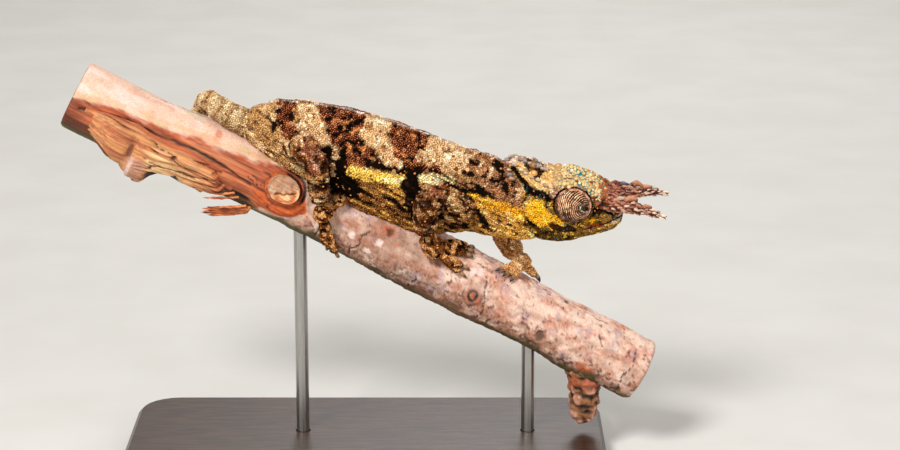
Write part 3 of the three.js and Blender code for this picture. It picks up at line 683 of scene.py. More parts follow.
def paintTail(points, colour, onTail):
    own = branchPlace.inside(points)
    ruffles = (cloud(own, 1.1, 24, 2), cloud(own, 0.9, 25, 2))
    rings = np.sin(2 * math.pi * own[:, 0] / 3.1 + 1.2 * cloud(own, 4, 21))
    under = smoothStep(-own[:, 2], -13, -10) * smoothStep(own[:, 0], -62, -50)
    ringed = mottle(
        flecked("tail", ruffles),
        ("brownRing", rings + 0.5 * cloud(own, 1.0, 22), 0.3, 1.1, 0.55),
        ("paleRing", -rings + 0.5 * cloud(own, 1.2, 23), 0.3, 1.1, 0.5),
        ("brownRing", under, 0, 1, 0.4))
    return np.where(onTail[:, None], ringed, colour)


limbMarks = [  # cloth, half width, ragged edge, line in the branch's frame, on the near side
    ("pinkTop", 1.5, 1.5, [(-34.0, 18.8), (-31.2, 18.8), (-28.2, 16.4)]),
    ("cream", 0.75, 0.9, [(-35.8, 18.6), (-34.6, 18.8)]),
    ("cream", 0.5, 1.0, [(-37.0, 15.6), (-35.0, 13.8)]),
    ("armPale", 0.5, 1.2, [(-30.0, 11.7), (-24.4, 13.9)]),
    ("armPale", 0.45, 1.2, [(-27.2, 7.2), (-22.4, 9.4)]),
    ("pinkTop", 1.6, 1.5, [(-5.4, 22.2), (-2.8, 24.4), (0.0, 24.4)]),
    ("armPale", 0.8, 1.4, [(2.2, 25.0), (5.6, 23.2), (9.0, 20.2)]),
    ("groin", 0.5, 1.4, [(1.6, 22.6), (4.4, 19.8)]),
]


def paintLimbs(points, colour, owner):
    own = branchPlace.inside(points)
    flat, near = own[:, [0, 2]], own[:, 1] < 0
    broad, rough = cloud(own, 2.6, 31), cloud(own, 1.2, 34, 2)
    ruffles = (cloud(own, (1.5, 1.1, 0.7), 32, 3), cloud(own, (1.3, 0.9, 0.6), 33, 3))
    streaks = (cloud(own, (2.2, 0.8, 0.7), 35, 3), cloud(own, (2.2, 0.8, 0.7), 36, 3))
    toes = (1.5 * cloud(own, (1.6, 0.9, 0.7), 37, 2), 1.5 * cloud(own, (1.4, 0.8, 0.7), 38, 2))
    limb = flecked("arm", ruffles)
    pale, dark = flecked("armPale", ruffles), flecked("groin", ruffles)
    for node in limbs:
        here = isOneOf(owner, [node])
        bands = np.sin(2 * math.pi * alongNode(points, node) / 4.6 + broad) + 0.6 * ruffles[1]
        least = -0.5 if node.endswith("shin") else 0 if node.endswith("forearm") else 0.45
        banded = limb + (dark - limb) * smoothStep(bands, least, least + 0.6)[:, None] * 0.75
        banded = banded + (pale - banded) * smoothStep(-bands, 0.6, 1.1)[:, None]
        limb = np.where(here[:, None], banded, limb)
    for nodes, cloth, flecks in (
            (feet, "foot", toes), (["left_upper_arm", "left_forearm"], "softArm", ruffles),
            (["left_forefoot"], "softArm", streaks)):
        limb = np.where(isOneOf(owner, nodes)[:, None], flecked(cloth, flecks), limb)
    limb = np.where(near[:, None], stroke(limb, flat, limbMarks, rough, ruffles), limb)
    return np.where(isOneOf(owner, limbs + feet)[:, None], limb, colour)


def paintBody(points):
    own = branchPlace.inside(points)
    side = np.sign(own[:, 1])
    drift = np.stack([cloud(own, 9, 41), cloud(own, 9, 42)], 1) * 1.6
    flat = own[:, [0, 2]] + 0.5 * (1 + side)[:, None] * drift
    rough, broad = cloud(own, 1.6, 43, 4), cloud(own, 4, 45)
    streaky = smoothStep(flat[:, 0], -12, 0) * (1 - smoothStep(flat[:, 1], 27.5, 29.5))
    streaky = np.maximum(streaky, 1 - smoothStep(flat[:, 1], 16, 20))
    ruffles = [
        cloud(own, 1.05, seed, 2) * (1 - streaky) + cloud(own, (3.4, 1.6, 0.62), seed + 1, 2) * streaky
        for seed in (44, 47)]
    along, up = flat.T
    under = 16.6 + 0.3 * (along + 20.4) - up + 0.5 * rough  # below the yellow stripe
    middle = smoothStep(along, -29, -25) * (1 - smoothStep(along, 2, 8))
    throat = smoothStep(along - 0.2 * up + 1.5 * rough, 0, 4) * (1 - smoothStep(up, 26, 28))
    chest = smoothStep(along + 1.5 * rough, 15, 19) * (1 - smoothStep(up + rough, 27, 29))
    colour = lay(
        flecked("tan", ruffles), ruffles,
        ("cream", broad + 0.6 * rough, 0.2, 0.6, 1),
        ("belly", under, 0, 1.2, middle),
        ("throat", throat, 0.2, 0.8, 1),
        ("amber", chest, 0.3, 0.8, 1),
        ("plum", smoothStep(along, 4, 8) * smoothStep(up, 26, 28), 0.3, 0.9, 1))
    colour = stroke(colour, flat, bodyMarks, rough, ruffles)
    wrinkles = hill(along, 2, 11) * hill(up, 26.4, 2.8) * (0.75 + cloud(own, (6, 2, 0.7), 48, 2))
    ridge = hill(own[:, 1], 0, 0.6) * smoothStep(own[:, 2] - 0.25 * own[:, 0], 18, 26)
    return lay(
        colour, ruffles,
        ("groin", wrinkles, 0.62, 0.8, 1),
        ("dark", cloud(own, 1.3, 49, 3), 0.62, 0.75, 0.85),
        ("ash", ridge + 0.2 * rough, 0.4, 0.8, 0.85))


def paintHead(points):
    own = headPlace.inside(points)
    flat = own[:, [0, 2]]
    rough, broad = cloud(own, 1.2, 51, 3), cloud(own, 3, 53)
    ruffles = (cloud(own, 0.9, 52, 2), cloud(own, 0.8, 55, 2))
    temple = 3.4 + rough - nearLine(flat, [(-14.5, -5.2), (-11.4, -4.4)])
    under = -flat[:, 1] - 0.15 * flat[:, 0] + 0.5 * rough
    colour = lay(
        flecked("jaw", ruffles), ruffles,
        ("throat", broad + 0.4 * rough, 0.0, 0.5, 0.7),
        ("amber", temple, 0, 0.8, 1),
        ("jaw", under, 7.4, 8.4, 1),
        ("dark", under * (0.9 + 0.25 * ruffles[0]), 9.0, 10.4, 0.7))
    colour = stroke(colour, flat, headMarks, rough, ruffles)
    specks = mottle(colour, ("teal", cloud(own, 0.55, 56, 2), 0.5, 0.8, 0.5))
    clear = (nearLine(flat, headMarks[0][3]) < 1.6) | (own[:, 2] > 0.5)
    return np.where(clear[:, None], colour, specks)


trunkSplit = -13.0  # the trunk's scales are two pieces, which meet at this place along the branch


def paintSkin(mesh, owner):
    points = pointsOf(mesh)
    onHead = isOneOf(owner, headNodes)
    onTail = isOneOf(owner, tailNodes)
    body = branchPlace.inside(points)
    colour = paintTail(points, paintBody(points), onTail)
    colour = paintLimbs(points, colour, owner)
    colour = np.where(onHead[:, None], paintHead(points), colour)
    head = headPlace.inside(points)
    crown = onHead & (head[:, 2] > 1.4 + 0.12 * head[:, 0]) & (nearLine(head[:, [0, 2]], templeBand) > 1)
    brow = crown & (head[:, 0] > -4.5)
    casque = crown & ~brow
    light = colour.mean(1)[:, None]
    core = colour * 1.12
    core = np.where(casque[:, None], linear("f8c488") * (0.1 + 1.4 * light), core)
    reddish = smoothStep(light, 0.02, 0.05) * (1 - smoothStep(light, 0.14, 0.24))
    onTrunk = isOneOf(owner, bodyNodes)
    core = np.where(onTrunk[:, None], core + (linear("d08a62") - core) * reddish, core)
    valley = colour * (0.3 + 0.3 * light)
    valley = np.where(casque[:, None], colour * (0.5 + 0.3 * light), valley)
    valley = np.where(brow[:, None], linear(tones["teal"]), valley)
    odd = np.where(light > 0.2, linear("7a4424"), linear("c07c4a"))
    odd = np.where(casque[:, None], colour * (0.6, 0.32, 0.24), odd)
    mouth = onHead & (nearLine(head[:, [0, 2]], mouthLine) < 0.14)
    fromEyes = [np.linalg.norm(head - eyeCentre(side), axis=1) for side in (-1, 1)]
    bare = onHead & (np.minimum(*fromEyes) < eyes["turret"] + 0.4)
    valley = np.where(bare[:, None], colour * 0.4, valley)
    front = body[:, 0] > trunkSplit
    zone = np.select(
        [mouth | bare, casque, brow, onHead, isOneOf(owner, feet), isOneOf(owner, limbs), onTail, front],
        [9, 1, 2, 3, 4, 5, 6, 8], 7)
    for name, values in (("marking", colour), ("core", core), ("valley", valley), ("odd", odd)):
        setColours(mesh, name, values)
    setNumbers(mesh, "zone", zone)


def makeSkinPaint():
    paint = Paint("chameleonSkin", Roughness=0.7, Specular_IOR_Level=0.06)
    fine = paint.noise(9000, 2)
    colour = paint.darken(paint.read("valley", "Color"), paint.step(fine, 0.2, 0.8) * 0.7 + 0.55)
    paint.surface(Base_Color=colour, Normal=paint.bump(fine, 0.06))
    return paint.material


# A scale as a low dome. patch is where a point lies on the scale's own small square of the bake's map,
# and dome is 0 at the rim and 1 at the top.
def scaleShape(name, rings, sides=6, tip=None):
    points, faces, dome = [], [], []
    for radius, height, shine in rings:
        for i in range(sides):
            turn = 2 * math.pi * (i + 0.5) / sides
            points.append((radius * math.cos(turn), radius * math.sin(turn), height))
            dome.append(shine)
    top = len(points)
    points.append(tip or (0, 0, rings[-1][1] + 0.1))
    dome.append(1)
    for row in range(len(rings) - 1):
        for i in range(sides):
            a, b = row * sides + i, row * sides + (i + 1) % sides
            faces.append((a, b, b + sides, a + sides))
    last = (len(rings) - 1) * sides
    faces += [(last + i, last + (i + 1) % sides, top) for i in range(sides)]
    mesh = bpy.data.meshes.new(name)
    mesh.from_pydata(points, [], faces)
    mesh.shade_smooth()
    setNumbers(mesh, "dome", dome)
    setVectors(mesh, "patch", [(x / 2, y / 2, 0) for x, y, _ in points])
    return addPiece(name, mesh)


def newTree(name, inputs, output):
    tree = bpy.data.node_groups.new(name, "GeometryNodeTree")
    for label, kind in inputs.items():
        tree.interface.new_socket(label, in_out="INPUT", socket_type="NodeSocket" + kind)
    tree.interface.new_socket(output, in_out="OUTPUT", socket_type="NodeSocketGeometry")
    return TreeGraph(tree)


# A Geometry Nodes tree, with short words for the nodes that both trees use.
class TreeGraph(Graph):
    def named(self, name, kind="FLOAT_VECTOR"):  # an attribute of the geometry
        return self.add("GeometryNodeInputNamedAttribute", {"data_type": kind}, {"Name": name})

    def store(self, geometry, name, value, kind, domain):
        settings = {"data_type": kind, "domain": domain}
        sockets = {"Geometry": geometry, "Name": name, "Value": value}
        return self.add("GeometryNodeStoreNamedAttribute", settings, sockets)

    def drop(self, geometry, *names):
        for name in names:
            geometry = self.add("GeometryNodeRemoveAttribute", None, {"Geometry": geometry, "Name": name})
        return geometry

    def chance(self, seed, low=0.0, high=1.0):
        sockets = {2: low, 3: high, "Seed": seed}
        return self.add("FunctionNodeRandomValue", {"data_type": "FLOAT"}, sockets, out=1)

    def instances(self, points, turned, size, shape):
        model = self.add("GeometryNodeObjectInfo", None, {"Object": shape}, out="Geometry")
        sockets = {"Points": points, "Rotation": turned, "Scale": size, "Instance": model}
        return self.add("GeometryNodeInstanceOnPoints", None, sockets)

    # Makes instances real, gives each its own patch of the bake's map round its root, and sets the finish.
    def finish(self, instances, width, material, *spare):
        real = self.add("GeometryNodeRealizeInstances", None, {"Geometry": instances})
        across = self.vectors("SCALE", self.named("patch"), width, 3)
        spot = self.vectors("ADD", self.named("rootPlace"), across)
        clean = self.drop(self.store(real, "OFBake", spot, "FLOAT2", "CORNER"), "patch", "rootPlace", *spare)
        painted = self.add("GeometryNodeSetMaterial", None, {"Geometry": clean, "Material": material})
        self.feed(self.tree.nodes.new("NodeGroupOutput").inputs[0], painted)
        return self.tree


coatPatch = 0.003  # how wide a scale's patch is on the bake's map
crowding = 12  # tries for each scale, so that none is missing


# The tree that covers a zone of a surface with scales. Spacing and size are in metres.
def makeCoatTree():
    graph = newTree("coat", {
        "Surface": "Geometry", "Scale": "Object", "Zone": "Float", "Spacing": "Float", "Size": "Float",
        "Vary": "Float", "Spin": "Float", "Lean": "Vector", "Seed": "Int", "Finish": "Material"}, "Coat")
    given = graph.add("NodeGroupInput")
    zone = {0: graph.named("zone", "FLOAT"), 1: given.also("Zone"), 2: 0.3}
    spacing, vary = given.also("Spacing"), given.also("Vary")
    dots = graph.add(
        "GeometryNodeDistributePointsOnFaces", {"distribute_method": "POISSON", "use_legacy_normal": False},
        {"Mesh": given.also("Surface"), "Distance Min": spacing, "Density Max": (spacing ** -2) * crowding,
         "Density Factor": graph.add("ShaderNodeMath", {"operation": "COMPARE"}, zone),
         "Seed": given.also("Seed")})
    rooted = graph.store(dots, "rootPlace", graph.named("OFBake"), "FLOAT_VECTOR", "POINT")
    aim = graph.vectors("ADD", dots.also("Normal"), given.also("Lean"))
    upright = graph.add("FunctionNodeAlignRotationToVector", {"axis": "Z"}, {"Vector": aim})
    spin = graph.add("ShaderNodeCombineXYZ", None, {2: graph.chance(5, 0.0, given.also("Spin"))})
    turned = graph.add(
        "FunctionNodeRotateRotation", {"rotation_space": "LOCAL"},
        {0: upright, 1: graph.add("FunctionNodeEulerToRotation", None, {0: spin})})
    size = given.also("Size") * graph.chance(7, 1 - vary, vary + 1)
    placed = graph.instances(graph.drop(rooted, "OFBake"), turned, size, given.also("Scale"))
    marked = graph.store(placed, "speck", graph.chance(9), "FLOAT", "INSTANCE")
    return graph.finish(marked, coatPatch, given.also("Finish"), "zone")


# The tree that sets one shape at each point of a list, by the point's own directions and size.
def makePlacedTree():
    graph = newTree("placed", {
        "Points": "Geometry", "Shape": "Object", "Patch": "Float", "Finish": "Material"}, "Pieces")
    given = graph.add("NodeGroupInput")
    upright = graph.add("FunctionNodeAlignRotationToVector", {"axis": "Z"}, {"Vector": graph.named("out")})
    aimed = graph.add(
        "FunctionNodeAlignRotationToVector", {"axis": "X", "pivot_axis": "Z"},
        {"Rotation": upright, "Vector": graph.named("aim")})
    placed = graph.instances(given, aimed, graph.named("size"), given.also("Shape"))
    return graph.finish(placed, given.also("Patch"), given.also("Finish"), "out", "aim", "size")


# A mesh of loose points for the placed tree. Directions and sizes are one row for each point.
def pointList(name, points, out, aim, size, colours, roots):
    mesh = bpy.data.meshes.new(name)
    mesh.from_pydata([tuple(p) for p in np.asarray(points) * toMetres], [], [])
    for label, values in (("out", out), ("aim", aim), ("size", size * toMetres), ("rootPlace", roots)):
        setVectors(mesh, label, values)
    for label, values in colours.items():
        setColours(mesh, label, values)
    setNumbers(mesh, "speck", seeded.random(len(points)))
    return mesh


seeded = np.random.default_rng(7)


# Runs a tree on a copy of a surface and keeps the result as a plain mesh.
def grow(name, surface, tree, values):
    host = addPiece(name + "Host", surface.data)
    modifier = host.modifiers.new("coat", "NODES")
    modifier.node_group = tree
    for socket in tree.interface.items_tree:
        if socket.name in values:
            modifier[socket.identifier] = values[socket.name]
    mesh = evaluated(host)
    host.modifiers.remove(modifier)
    bpy.data.objects.remove(host)
    mesh.name = name
    triangles = sum(len(p.vertices) - 2 for p in mesh.polygons)
    print(f"{name}: {triangles} triangles")
    return addPiece(name, mesh)


# A finish for scales: the marking at each scale's root, its own small chance, and darker rims.
def makeCoatPaint(name, roughness, oddShare, rim, contrast, ring=None, valleyShare=0):
    paint = Paint(name, Roughness=roughness, Specular_IOR_Level=0.03)
    dome, speck = paint.read("dome"), paint.read("speck")
    colour = paint.read("marking", "Color")
    if valleyShare:
        inValley = paint.step(speck, 1 - valleyShare, 1.01 - valleyShare)
        colour = paint.blend(inValley, colour, paint.read("valley", "Color"))
    elif ring:  # a ring of another tone between the rim and the middle
        inRing = paint.step(dome, 0.3, 0.42) * (1 - paint.step(dome, 0.62, 0.74))
        colour = paint.blend(inRing * 0.75, colour, paint.read(ring, "Color"))
    if ring != "core" and not valleyShare:
        colour = paint.blend(paint.step(dome, 0.6, 1), colour, paint.read("core", "Color"))
    odd = paint.step(speck, 1 - oddShare, 1 - oddShare * 0.6)
    colour = paint.blend(odd, colour, paint.read("odd", "Color"))
    seed = paint.add("ShaderNodeTexWhiteNoise", {"noise_dimensions": "1D"}, {"W": speck * 41}, out="Value")
    fine = paint.noise(14000, 2)
    amount = (seed * contrast + (1.06 - contrast / 2)) * (paint.step(dome, -0.1, 0.6) * (1 - rim) + rim)
    colour = paint.darken(colour, amount * (fine * 0.4 + 0.8))
    paint.surface(Base_Color=colour, Normal=paint.bump(fine, 0.03))
    return paint.material


coat = {  # zone, spacing, scale radius, seed, shape, finish
    "coat_casque": (1, 0.74, 0.42, 1, "low", "brow"),
    "coat_casque_large": (1, 2.1, 0.95, 13, "ringed", "ringed"),
    "coat_brow": (2, 0.72, 0.5, 2, "low", "brow"),
    "coat_brow_small": (2, 0.42, 0.25, 11, "low", "between"),
    "coat_casque_small": (1, 0.42, 0.27, 12, "low", "brow"),
    "coat_face": (3, 0.4, 0.27, 3, "low", "face"),
    "coat_feet": (4, 0.37, 0.25, 4, "low", "plain"),
    "coat_legs": (5, 0.43, 0.29, 5, "low", "plain"),
    "coat_tail": (6, 0.43, 0.29, 6, "low", "plain"),
    "coat_trunk_rear": (7, 0.43, 0.29, 7, "low", "plain"),
    "coat_trunk_front": (8, 0.43, 0.29, 8, "low", "plain"),
    "coat_large_rear": (7, 3.2, 0.5, 9, "ringed", "large"),
    "coat_large_front": (8, 2.6, 0.54, 10, "ringed", "large"),
}


scaleVary = 0.22  # how much scales differ in size


def buildCoat(skin, tree, shapes, finishes):
    for name, (zone, spacing, size, seed, shape, finish) in coat.items():
        yield grow(name, skin, tree, {
            "Scale": shapes[shape], "Zone": float(zone), "Spacing": spacing * toMetres,
            "Size": size * toMetres, "Vary": scaleVary, "Spin": 2 * math.pi, "Lean": (0.0, 0.0, 0.0),
            "Seed": seed, "Finish": finishes[finish]})


print("skin")
skinMesh, owner = buildSkinMesh()
paintSkin(skinMesh, owner)
skin = addPiece("skin", skinMesh, makeSkinPaint())
unwrap(skin)
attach(skin, "root")
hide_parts(*fleshNodes)

print("coat of scales")
coatPaints = {
    "plain": makeCoatPaint("chameleonScales", 0.55, 0.04, 0.3, 0.8),
    "face": makeCoatPaint("faceScales", 0.5, 0.03, 0.55, 0.5),
    "brow": makeCoatPaint("browScales", 0.5, 0.05, 0.5, 0.4),
    "ringed": makeCoatPaint("casqueScales", 0.5, 0.04, 0.6, 0.35, "odd"),
    "large": makeCoatPaint("largeScales", 0.5, 0.1, 0.25, 0.6, "core"),
    "between": makeCoatPaint("betweenScales", 0.55, 0, 0.5, 0.4, None, 0.34),
}
coatTree = makeCoatTree()
shapes = {
    "low": scaleShape("lowDome", [(1, -0.3, 0), (0.74, 0.3, 0.5)], tip=(0, 0, 0.5)),
    "ringed": scaleShape("ringedDome", [
        (1, -0.3, 0), (0.86, 0.18, 0.25), (0.66, 0.36, 0.48), (0.44, 0.34, 0.66), (0.24, 0.42, 0.9)], 9),
}
for piece in buildCoat(skin, coatTree, shapes, coatPaints):
    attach(piece, "root")
for shape in shapes.values():
    bpy.data.objects.remove(shape)


# The eye turrets: cones of skin ringed with rows of granules round a small slit.
turret = {
    "ringPitch": 0.62,  # between rows of granules
    "ridge": 0.15,
    "granule": 0.62,
    "slit": (1.6, 0.66),  # half length and half height of the opening
    "reach": 9.0,  # how far from the slit the skin goes on, over the ball
    "rows": 108,
    "sides": 190,
    "slitTilt": 28,  # degrees
    "paleLip": 0.4,  # the turn at which the slit's rim is palest, in radians
}


# Points of the turret by the distance from the slit's rim over the ball, and the turn round it.
def turretPoint(away, turn, radius, axes):
    slit = turret["slit"]
    rim = slit[0] * slit[1] / np.hypot(slit[1] * np.cos(turn), slit[0] * np.sin(turn))
    share = np.clip(away / turret["reach"], 0, 1)
    angle = (rim * (1 - share) ** 2 + away) / eyes["turret"]
    flat = np.sin(angle)[:, None] * (np.cos(turn)[:, None] * axes[0] + np.sin(turn)[:, None] * axes[1])
    return radius[:, None] * (flat + np.cos(angle)[:, None] * axes[2])


def gazeAxes(side):  # along the slit, across it, and out of it, in the head's frame
    gaze = np.array(eyes["gaze"][side])
    gaze /= np.linalg.norm(gaze)
    along = np.cross(gaze, (0.25 * side, 0, 1.0))
    along /= np.linalg.norm(along)
    tilt = math.radians(turret["slitTilt"]) * side
    across = np.cross(gaze, along)
    return np.array([along * math.cos(tilt) + across * math.sin(tilt),
                     across * math.cos(tilt) - along * math.sin(tilt), gaze])


def buildTurret(side):
    rows, sides = turret["rows"], turret["sides"]
    away, turn = gridOf(np.linspace(-0.5, turret["reach"], rows), turnsOf(sides))
    outside = smoothStep(away, -0.25, 0.1)
    radius = eyes["turret"] - 0.95 * (1 - outside) - 0.08
    axes = gazeAxes(side)
    base = turretPoint(np.maximum(away, 0), turn, radius, axes)
    wander = 0.2 * cloud(base, 1.7, 61) + 0.1 * cloud(base, 0.7, 65) + 0.05 * np.sin(turn * 3)
    phase = (away + wander) / turret["ringPitch"]
    ring = np.floor(phase + 0.5)
    crest = np.abs(np.cos(np.pi * phase)) ** 1.5
    fromSlit = np.clip(ring * turret["ringPitch"] / eyes["turret"] + 0.25, 0.1, 3)
    beads = np.maximum(np.round(2 * np.pi * eyes["turret"] * np.sin(fromSlit) / turret["granule"]), 6)
    bead = 0.5 + 0.5 * np.cos(beads * turn + ring * 2.4 + cloud(base, 1.0, 66))
    rough = cloud(base, 0.6, 62, 2)
    height = turret["ridge"] * crest * (0.72 + 0.28 * bead) * (1 + 0.5 * rough)
    lip = hill(away, 0.18, 0.26)
    height = height * smoothStep(away, 0.2, 0.6) + 0.22 * lip * (0.75 + 0.25 * bead)
    points = turretPoint(np.maximum(away, -0.05), turn, radius + height * outside, axes)
    points = headPlace.outside(points + eyeCentre(side))
    form = np.vstack([points, [points[:sides].mean(0), points[-sides:].mean(0)]])
    mesh = meshOf("turret", form, [face[::-1] for face in tubeFaces(rows, sides)])
    up = base[:, 2] / eyes["turret"]
    front = base @ axes[2] / eyes["turret"]
    light = crest * (0.74 + 0.26 * bead) + 0.34 * rough
    blotches = cloud(base, 1.6, 63, 2)
    # low is 1 on the turret's lower, front-facing part: the dark it brings is painted shade under the
    # turret.
    low = smoothStep(-up + 0.25 * blotches, 0.15, 0.75) * smoothStep(front, -0.6, 0.3)
    # nearSlit darkens the skin on the lower side of the slit: painted shade.
    nearSlit = hill(away, 0.9, 1.0) * smoothStep(np.sin(turn + 0.6), -0.2, 0.4)
    whitish = (lip + hill(away, 0.8, 0.3) * 0.4) * smoothStep(np.cos(turn - turret["paleLip"]), 0.3, 0.8)
    colour = mottle(
        "0a0402",
        ("turretBrown", light, 0.42, 0.66, 1),
        ("turretPeach", light + 0.3 * blotches, 0.62, 0.88, 1),
        ("turretCream", light + 0.35 * cloud(base, 1.2, 64), 0.85, 1.15, 0.85),
        ("dark", low * (1.25 - 0.6 * light), 0.35, 0.9, 0.85),
        ("dark", nearSlit * (1.3 - 0.5 * light), 0.4, 0.9, 0.8),
        ("turretCream", whitish * (0.4 + 0.8 * bead), 0.4, 0.8, 0.85),
        # The slit's inner wall is painted black: painted shade in the opening.
        ("dark", 1 - smoothStep(away, -0.05, 0.15), 0.3, 0.8, 1))
    setColours(mesh, "marking", np.vstack([colour, colour[:2]]))
    return mesh


# A ball with a dark iris, seen through the turret's slit.
def buildEyeball(side):
    axes = gazeAxes(side)
    radius = eyes["ball"]
    bulge = [math.radians(a) for a in eyes["ballRings"]]
    middle = axes[2] * (eyes["turret"] - eyes["ballDepth"] - radius)
    path = [middle + axes[2] * radius * math.cos(a) for a in bulge]
    form = loft(path, [radius * math.sin(a) for a in bulge], 28, axes[1], 0.1)
    points = headPlace.outside(form[0] + eyeCentre(side))
    mesh = meshOf("eyeball", points, form[1])
    fromAxis = np.linalg.norm(np.cross(form[0] - middle, axes[2]), axis=1)
    setNumbers(mesh, "iris", fromAxis)
    return mesh


def makeEyePaint():
    paint = Paint("chameleonEye", Roughness=0.12, Specular_IOR_Level=0.4)
    iris = paint.read("iris")
    grain = paint.noise(6000, 3)
    ring = paint.step(iris + grain * 0.2, 0.62, 0.85)
    brown = paint.blend(paint.step(grain, 0.35, 0.7), shade("1c0e05"), shade("6a4218"))
    disc = paint.blend(ring, shade("040202"), brown)
    colour = paint.blend(paint.step(iris, 1.0, 1.2), disc, shade("060302"))
    return paint.surface(Base_Color=colour).material


# Folds of skin round the turret: where a ball a little larger than the turret meets the skin.
orbit = {
    "rim": 0.85,  # from the turret to the socket's edge in the skin
    "folds": [(0.2, 0.3, 0.16), (0.82, 0.34, -0.12)],  # how far out, thickness, how far raised outwards
    "bead": 0.6,
    "sides": 10,
    "steps": 150,
    "search": (75, -50, -1.5),  # degrees outwards, from and to, and the step
    "touch": 0.22,
    "evening": (9, 14),  # steps on either side that the middle value is taken of, and rounds of evening
}


# Round the eye, how far outwards the edge of its socket lies, in radians from the head's middle plane.
def socketLifts(tree, side):
    lifts = np.radians(np.arange(*orbit["search"]))
    wide, rounds = orbit["evening"]
    found = []
    for turn in turnsOf(orbit["steps"]):
        spoke = np.array([math.cos(turn), 0, math.sin(turn)])
        ways = np.outer(np.cos(lifts), spoke) + np.outer(np.sin(lifts), (0, side, 0))
        spots = headPlace.outside(eyeCentre(side) + (eyes["turret"] + orbit["rim"]) * ways)
        away = np.array([tree.find_nearest(Vector(spot * toMetres))[3] for spot in spots]) / toMetres
        touching = np.flatnonzero(away < orbit["touch"])
        found.append(lifts[touching[0] if len(touching) else int(np.argmin(away))])
    evened = np.median([np.roll(found, shift) for shift in range(-wide, wide + 1)], axis=0)
    for _ in range(rounds):
        evened = (np.roll(evened, 1) + evened * 2 + np.roll(evened, -1)) / 4
    return evened


def buildFold(name, lifts, side, fold, seed):
    out, thick, raised = fold
    turn = turnsOf(orbit["steps"])
    lifts = lifts + raised
    spokes = np.stack([np.cos(turn), 0 * turn, np.sin(turn)], 1)
    away = np.cos(lifts)[:, None] * spokes + np.sin(lifts)[:, None] * np.array([0, side, 0])
    path = eyeCentre(side) + (eyes["turret"] + out) * away
    path = path + 0.07 * cloud(path, 1.1, 73 + seed, 2)[:, None] * away
    rise = np.cross(unit(np.roll(path, -1, 0) - np.roll(path, 1, 0)), away)
    length = np.concatenate([[0], np.cumsum(np.linalg.norm(np.diff(path, axis=0), axis=1))])
    beads = 0.84 + 0.16 * np.cos(2 * np.pi * length / orbit["bead"])
    uneven = 1 + 0.2 * cloud(path, 1.4, 71 + seed)
    sides = orbit["sides"]
    turns = turnsOf(sides)
    ring = (away[:, None] * np.cos(turns)[:, None] + rise[:, None] * np.sin(turns)[:, None])
    points = (path[:, None] + ring * (thick * beads * uneven)[:, None, None]).reshape(-1, 3)
    rows = len(path)
    faces = []
    for row in range(rows):
        for i in range(sides):
            a, b = row * sides + i, row * sides + (i + 1) % sides
            c, d = (row + 1) % rows * sides + i, (row + 1) % rows * sides + (i + 1) % sides
            faces.append((a, c, d, b))
    mesh = meshOf(name, headPlace.outside(points), faces)
    own = cloud(points, 0.8, 75 + seed, 2)
    bright = own + 1.2 * (np.repeat(beads, sides) - 0.84)
    # top is 1 on the upper side of each fold: the dark on its lower side is painted shade.
    top = smoothStep(np.repeat(away[:, 2] + 0.35 * away[:, 0], sides), -0.5, 0.3)
    setColours(mesh, "marking", mottle(
        "9a5a40",
        ("pink", bright * top + 0.3 * top, 0.05, 0.5, 1),
        ("ash", cloud(points, 1.6, 77 + seed) * top, 0.3, 0.8, 0.5),
        ("dark", -own + 0.9 * (1 - top), 0.4, 0.9, 0.85)))
    bm = bmesh.new()
    bm.from_mesh(mesh)
    bmesh.ops.recalc_face_normals(bm, faces=bm.faces)
    bm.to_mesh(mesh)
    bm.free()
    return mesh


def makeGranulePaint():
    paint = Paint("ringedSkin", Roughness=0.5, Specular_IOR_Level=0.3)
    fine = paint.noise(9000, 3)
    colour = paint.darken(paint.read("marking", "Color"), fine * 0.7 + 0.65)
    return paint.surface(Base_Color=colour, Normal=paint.bump(fine, 0.05)).material


# The horns: thin cores wrapped in blunt scales that lean towards the tip, the largest along the top.
horn = {
    "root": (6.6, 2.5, 0.2),
    "tip": (21.2, 6.0, 1.85),
    "bow": 0.5,
    "core": [(2.3, 1.7), (2.25, 1.6), (1.75, 1.35), (1.25, 1.0), (0.85, 0.65), (0.3, 0.28)],
    "steps": 50,
    "sides": 24,
    "rows": 18,
    "spread": 0.86,  # between neighbours round a row
    "knob": (1.5, 0.84, 0.6),  # length, width, height
    "tipKnobs": ((20, 140, 260), (1.7, 0.8, 0.55)),  # turns and size
    "largeKnobs": {  # how far along, turn from the top towards the outside, length, width, height, tone
        -1: [(0.2, -20, 1.9, 1.1, 1.2, "hornRed"), (0.3, 20, 2.0, 1.1, 1.1, "hornBrown"),
             (0.45, 5, 2.6, 1.3, 1.7, "hornPink"), (0.6, 30, 2.0, 1.0, 1.1, "hornBrown"),
             (0.72, 0, 2.0, 1.0, 1.1, "hornPink"), (0.84, -20, 1.7, 0.8, 0.9, "hornPale")],
        1: [(0.18, 10, 1.9, 1.1, 1.2, "hornRed"), (0.3, -10, 2.0, 1.1, 1.4, "slate"),
            (0.4, -40, 1.9, 1.0, 1.1, "hornRed"), (0.52, 15, 2.6, 1.3, 1.8, "hornPink"),
            (0.68, -10, 2.1, 1.0, 1.3, "hornPink"), (0.82, 20, 1.8, 0.8, 0.9, "hornPale")],
    },
}


